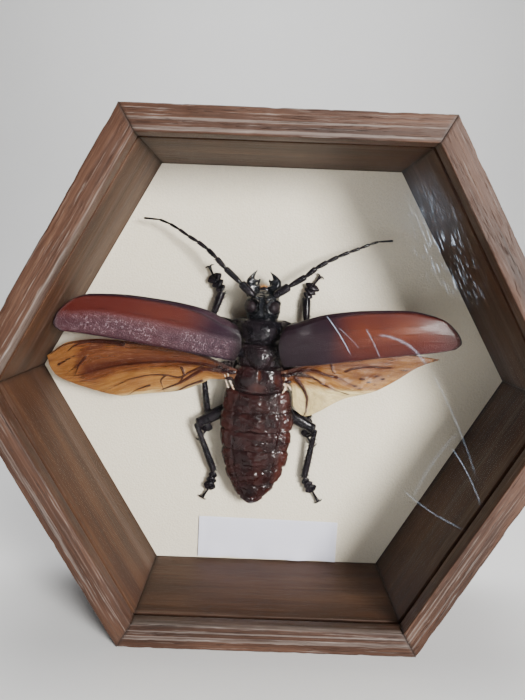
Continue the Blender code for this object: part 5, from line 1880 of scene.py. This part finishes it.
@dataclass
class Wings:
    """The wing cases, the membranes under them, and the roots that carry them."""

    lug: tuple = ((-15.6, 15.4, 24.6, 2.4, 1.5), (-12.8, 14.2, 22.6, 2.4, 1.5),
                  (-8.0, 13.0, 17.4, 2.2, 1.5))
    plates: tuple = ((15.5, 2.4, 19.4, 2.6, 1.2), (19.0, 3.4, 19.2, 2.2, 1.0), (16.6, -1.2, 18.6, 2.0, 1.1),
                     (22.2, 4.6, 18.8, 1.8, 0.9))
    hairs: int = 90
    tissues: tuple = (
        ((14.6, 4.2, 19.6), (15.4, 0.4, 18.6), (15.0, -3.2, 17.4), (16.6, -6.4, 16.0)),
        ((15.2, -2.0, 18.0), (17.6, -4.2, 17.4), (19.2, -6.4, 16.4)),
        ((15.8, -2.6, 17.6), (15.2, -5.6, 17.8), (13.8, -8.0, 18.2)),
        ((-16.6, 2.2, 18.8), (-15.4, -1.6, 17.6), (-13.6, -5.6, 17.2), (-12.4, -7.6, 17.6)),
        ((-18.0, 1.0, 18.4), (-17.0, -3.4, 16.8), (-15.6, -7.2, 15.8)),
    )
    columns: int = 150
    rows: int = 240

    def build_case(self, side: Side) -> None:
        """Make a wing case: an arched shell with beaded margins and faint ribs.

        Args:
            side: which side of the beetle it is on.
        """
        vane = WING_CASES[side]
        clay = Clay()

        def place(u: Array, v: Array) -> dict:
            """Return the wing case's points and the values of its finish.

            Args:
                u: the grid's first shares.
                v: its second shares.

            Returns:
                The points, and any values by name.
            """
            flat, height, rank, span, half = vane.sheet(u, v)
            top = np.sin(2 * pi * u) > 0
            costa = 0.045 + 0.13 * np.exp(-span / 0.20)
            bead = np.max((hump(rank, 0.985, 0.018), hump(rank, 0.012, 0.012), hump(span, 0.992, 0.012)),
                          axis=0)
            ridge = hump(rank, costa, 0.012)
            ribs = sum(hump(rank + 0.02 * np.sin(span * 6 + r), r, 0.016) for r in (0.33, 0.50, 0.70))
            turned = -1.5 * np.exp(-((rank / 0.06) ** 2)) * step(span, 0.0, 0.1)
            inward = side.value * 3.4 * hump(span, 0.0, 0.06) * np.sin(pi * np.clip(rank, 0, 1) ** 0.8)
            shoulder = 1.2 * hump(rank, 0.20, 0.12) * hump(span, 0.06, 0.07)
            faint = ribs * step(span, 1.0, 0.7) * (0.5 + 0.5 * np.sin(span * 31 + rank * 9))
            relief = np.where(top, 0.40 * bead + 0.30 * ridge + 0.20 * faint, 0.0)
            waves = 0.30 * np.sin(span * 9.0 + rank * 4.0) * np.sin(pi * rank)
            z = height + half + relief + turned + shoulder + waves
            # Dark beaded edges, root and ribs; the right case also gets painted shade over its root half
            # below.
            margin = np.max((hump(rank, 1.0, 0.030), hump(rank, 0.0, 0.03), hump(span, 1.0, 0.016),
                             0.7 * hump(rank, costa + 0.02, 0.012), 0.9 * step(span, 0.06, 0.005),
                             0.40 * faint), axis=0)
            behind = step(rank, costa, costa + 0.03)
            if side is Side.LEFT:
                blush = behind * step(span, 0.03, 0.42) * (1 - 0.6 * step(rank, 0.36, 0.66))
                ember = 0.25 * hump(span, 0.45, 0.2) * hump(rank, 0.25, 0.12)
                # Where the granules lie and where a pale sheen is painted over them.
                frost = step(rank, 0.36, 0.52) * step(rank, 0.97, 0.86)
                frost = frost * (0.55 + 0.45 * step(span, 1.0, 0.7))
                # Painted sheen over the leading band near the root.
                frost = np.maximum(frost, 0.45 * (1 - behind) * step(span, 0.35, 0.1))
            else:
                blush = behind * step(span, 0.16, 0.46) * (1 - 0.35 * step(rank, 0.70, 0.95))
                ember = hump(span, 0.62, 0.26) * hump(rank, 0.42, 0.32)
                # A little granule sheen painted at the right case's tip and root.
                frost = 0.34 * step(span, 0.72, 0.95) * step(rank, 0.45, 0.8) + 0.10 * step(span, 0.3, 0.0)
                # Painted shade: the right case's root half is darkened.
                margin = np.maximum(margin, 0.70 * step(span, 0.46, 0.08))
            points = np.stack((flat[:, 0] - inward, flat[:, 1], z), axis=1)
            return {"co": points, "blush": blush, "ember": ember, "frost": frost, "margin": margin}
        clay.patch(self.columns, self.rows, place)
        clay.piece("wing_case_" + side.word, WING_CASE, ("elytron_" + side.word,))

    def build_wing(self, side: Side) -> None:
        """Make a membrane wing with raised veins and pleats that run out from its root.

        Args:
            side: which side of the beetle it is on.
        """
        vane = WINGS[side]
        clay = Clay()

        def place(u: Array, v: Array) -> dict:
            """Return the wing's points and the values of its finish.

            Args:
                u: the grid's first shares.
                v: its second shares.

            Returns:
                The points, and any values by name.
            """
            flat, height, rank, span, half = vane.sheet(u, v)
            vein = np.zeros(len(u))
            stain = np.zeros(len(u))
            for width, strength, points in VEINS[side]:
                vein = np.maximum(vein, 1.25 * strength * nearness(flat, points, max(width * 0.85, 0.62)))
            vein = np.clip(vein, 0, 1)
            for width, strength, points in FOLDS[side]:
                stain = np.maximum(stain, strength * nearness(flat, points, width))
            stain = np.maximum(stain, 0.75 * step(span, 0.30, 0.02))
            flows = np.stack((span * 60, rank * 26, np.zeros(len(u))), axis=1)
            pleats = rough(flows * (0.16, 1.0, 1.0), 3.2, 3, 3.0 + side.value)
            fine = rough(flows * (0.30, 1.0, 1.0), 1.1, 2, 9.0 + side.value)
            loose = np.sin(pi * np.clip(rank, 0, 1)) * step(span, 0.02, 0.2)
            z = height + half + loose * (1.5 * pleats + 0.32 * fine)
            z = z + np.where(np.sin(2 * pi * u) > 0, 0.50, -0.15) * vein
            if side is Side.LEFT:
                rear = step(rank, 0.78, 1.0) * step(span, 0.08, 0.36)
                tone = 0.11 + 0.26 * step(rank, 0.40, 0.60) + 0.34 * rear
                tone = tone + 0.16 * step(flat[:, 0], -96.0, -103.0)
            else:
                lobe = step(flat[:, 1], -2.0, -9.0)
                rim = step(rank, 0.16, 0.62) * step(span, 0.25, 0.45)
                tone = 0.20 + 0.66 * lobe + 0.08 * step(span, 0.6, 1.0) + 0.36 * rim
            return {"co": np.stack((flat[:, 0], flat[:, 1], z), axis=1), "vein": vein,
                    "stain": stain, "tone": np.clip(tone, 0, 1), "flow": flows}
        clay.patch(180, 300, place)
        clay.piece("wing_" + side.word, MEMBRANE, ("hindwing_" + side.word,))

    def build_roots(self) -> None:
        """Make the dark hinge plates and the torn tissue at the roots of the wings."""
        rng = np.random.default_rng(21)
        plates = Clay()
        hinges = Clay()
        hair = Clay()
        for side in Side:
            hinges.tube([[MIDDLE - side.value * (x - MIDDLE), *rest] for x, *rest in self.lug], 20, 20)
            for x, y, z, wide, tall in self.plates:
                plates.ball((MIDDLE + side.value * (x - MIDDLE), y, z), (wide, tall, 0.8))
            for _ in range(self.hairs):
                x = MIDDLE + side.value * rng.uniform(14.0, 26.0)
                y = 2.8 + 0.25 * abs(x - 14) * rng.uniform(0.0, 1.0)
                root = Vector((x, y, 18.9 + rng.uniform(-0.4, 0.6)))
                heading = Vector((side.value * rng.uniform(-0.9, 1.2), rng.uniform(-1.2, 0.1),
                                  rng.uniform(-0.2, 0.6))).normalized()
                hair.thorn(root, root + heading * rng.uniform(0.8, 3.0), 0.13, 4)
        plates.piece("hinge_plates", METANOTUM)
        hinges.piece("wing_case_hinges", BLACK)
        hair.piece("hinge_hair", FRAY)
        tissue = Clay()
        for route in self.tissues:
            bends = [[*point, 0.42 * rng.uniform(0.5, 1.5), 0.20] for point in route]
            tissue.tube(bends, 12, 40, lambda turn, v: 1 + 0.45 * np.sin(v * 31) * np.cos(turn), 0.2)
        tissue.piece("torn_tissue", TISSUE)

    def build(self) -> None:
        """Make the wing cases, the wings and their roots."""
        for side in Side:
            self.build_case(side)
            self.build_wing(side)
        self.build_roots()


# The studio


@dataclass
class Studio:
    """The floor, the soft lights and the camera."""

    floor_width: float = 60.0
    floor_front: float = 4.0
    floor_back: float = 1.5
    sweep: float = 1.2
    backdrop: float = 5.0
    lens: float = 28.8
    camera_place: tuple = (-0.0083, -0.2894, 0.18124)
    forward: tuple = (0.0041, 0.9914, -0.1309)
    up: tuple = (-0.0369, 0.1310, 0.9907)
    glow: tuple = (("From Min", -0.15), ("From Max", 0.5), ("To Min", 0.06), ("To Max", 0.35))
    lamps: tuple = (
        ("key", (0.90, -1.30, 0.44), 0.52, 62.0, (1.0, 0.985, 0.95), (0.0, 0.0, 0.126)),
        ("second", (0.45, -1.10, 1.25), 0.70, 8.0, (0.97, 0.985, 1.0), (0.0, 0.0, 0.126)),
        ("backdrop", (0.0, 0.45, 2.1), 1.6, 60.0, (1.0, 1.0, 1.0), (0.0, 2.3, 0.5)),
    )

    def build_camera(self) -> None:
        """Stand the camera at the photograph's place and angle."""
        data = bpy.data.cameras.new("camera")
        data.sensor_width = 36.0
        data.lens = self.lens
        data.clip_start = 0.005
        data.clip_end = 60.0
        camera = bpy.data.objects.new("camera", data)
        bpy.context.scene.collection.objects.link(camera)
        ahead = Vector(self.forward).normalized()
        right = ahead.cross(Vector(self.up)).normalized()
        turn = Matrix((right, right.cross(ahead), -ahead)).transposed()
        camera.matrix_world = Matrix.Translation(self.camera_place) @ turn.to_4x4()
        bpy.context.scene.camera = camera

    def build_lights(self) -> None:
        """Hang the soft lamps and set the pale surroundings."""
        for name, place, size, watts, colour, target in self.lamps:
            data = bpy.data.lights.new(name, "AREA")
            data.shape = "DISK"
            data.size = size
            data.energy = watts
            data.color = colour
            lamp = bpy.data.objects.new(name, data)
            lamp.location = place
            aim = Vector(target) - Vector(place)
            lamp.rotation_euler = aim.to_track_quat("-Z", "Y").to_euler()
            bpy.context.scene.collection.objects.link(lamp)
        world = bpy.data.worlds.new("surroundings")
        world.use_nodes = True
        tree = world.node_tree
        background = tree.nodes["Background"]
        background.inputs["Color"].default_value = (0.90, 0.92, 0.95, 1.0)
        place = tree.nodes.new("ShaderNodeTexCoord")
        split = tree.nodes.new("ShaderNodeSeparateXYZ")
        spread = tree.nodes.new("ShaderNodeMapRange")
        tree.links.new(place.outputs["Generated"], split.inputs[0])
        tree.links.new(split.outputs["Y"], spread.inputs["Value"])
        for name, value in self.glow:
            spread.inputs[name].default_value = value
        tree.links.new(spread.outputs["Result"], background.inputs["Strength"])
        bpy.context.scene.world = world

    def build_floor(self) -> None:
        """Lay the pale floor, which sweeps up behind the case."""
        clay = Clay()
        radius, back = self.sweep, self.floor_back

        def place(u: Array, v: Array) -> dict:
            """Return the floor's points.

            Args:
                u: the grid's first shares.
                v: its second shares.

            Returns:
                The points, and any values by name.
            """
            run = v * (self.floor_front + back + radius * pi / 2 + self.backdrop) - self.floor_front
            turn = np.clip((run - back) / radius, 0, pi / 2)
            rise = np.clip(run - back - radius * pi / 2, 0, None)
            y = np.minimum(run, back) + radius * np.sin(turn)
            z = radius * (1 - np.cos(turn)) + rise
            return {"co": np.stack(((u - 0.5) * self.floor_width, y, z), axis=1)}
        clay.patch(8, 80, place, closed=False)
        floor = clay.piece("floor", GROUND, stand=Matrix.Identity(4))
        LOG.info("%s: stage", floor.name)

    def build(self) -> None:
        """Set up the studio."""
        self.build_camera()
        self.build_lights()
        self.build_floor()


def main() -> None:
    """Build the studio, the case and the beetle."""
    logging.basicConfig(level=logging.INFO, format="%(name)s: %(message)s")
    for part in (Studio(), Case(), Body(), Jaws(), Feelers(), Limbs(), Wings()):
        part.build()


if __name__ == "__main__":
    main()
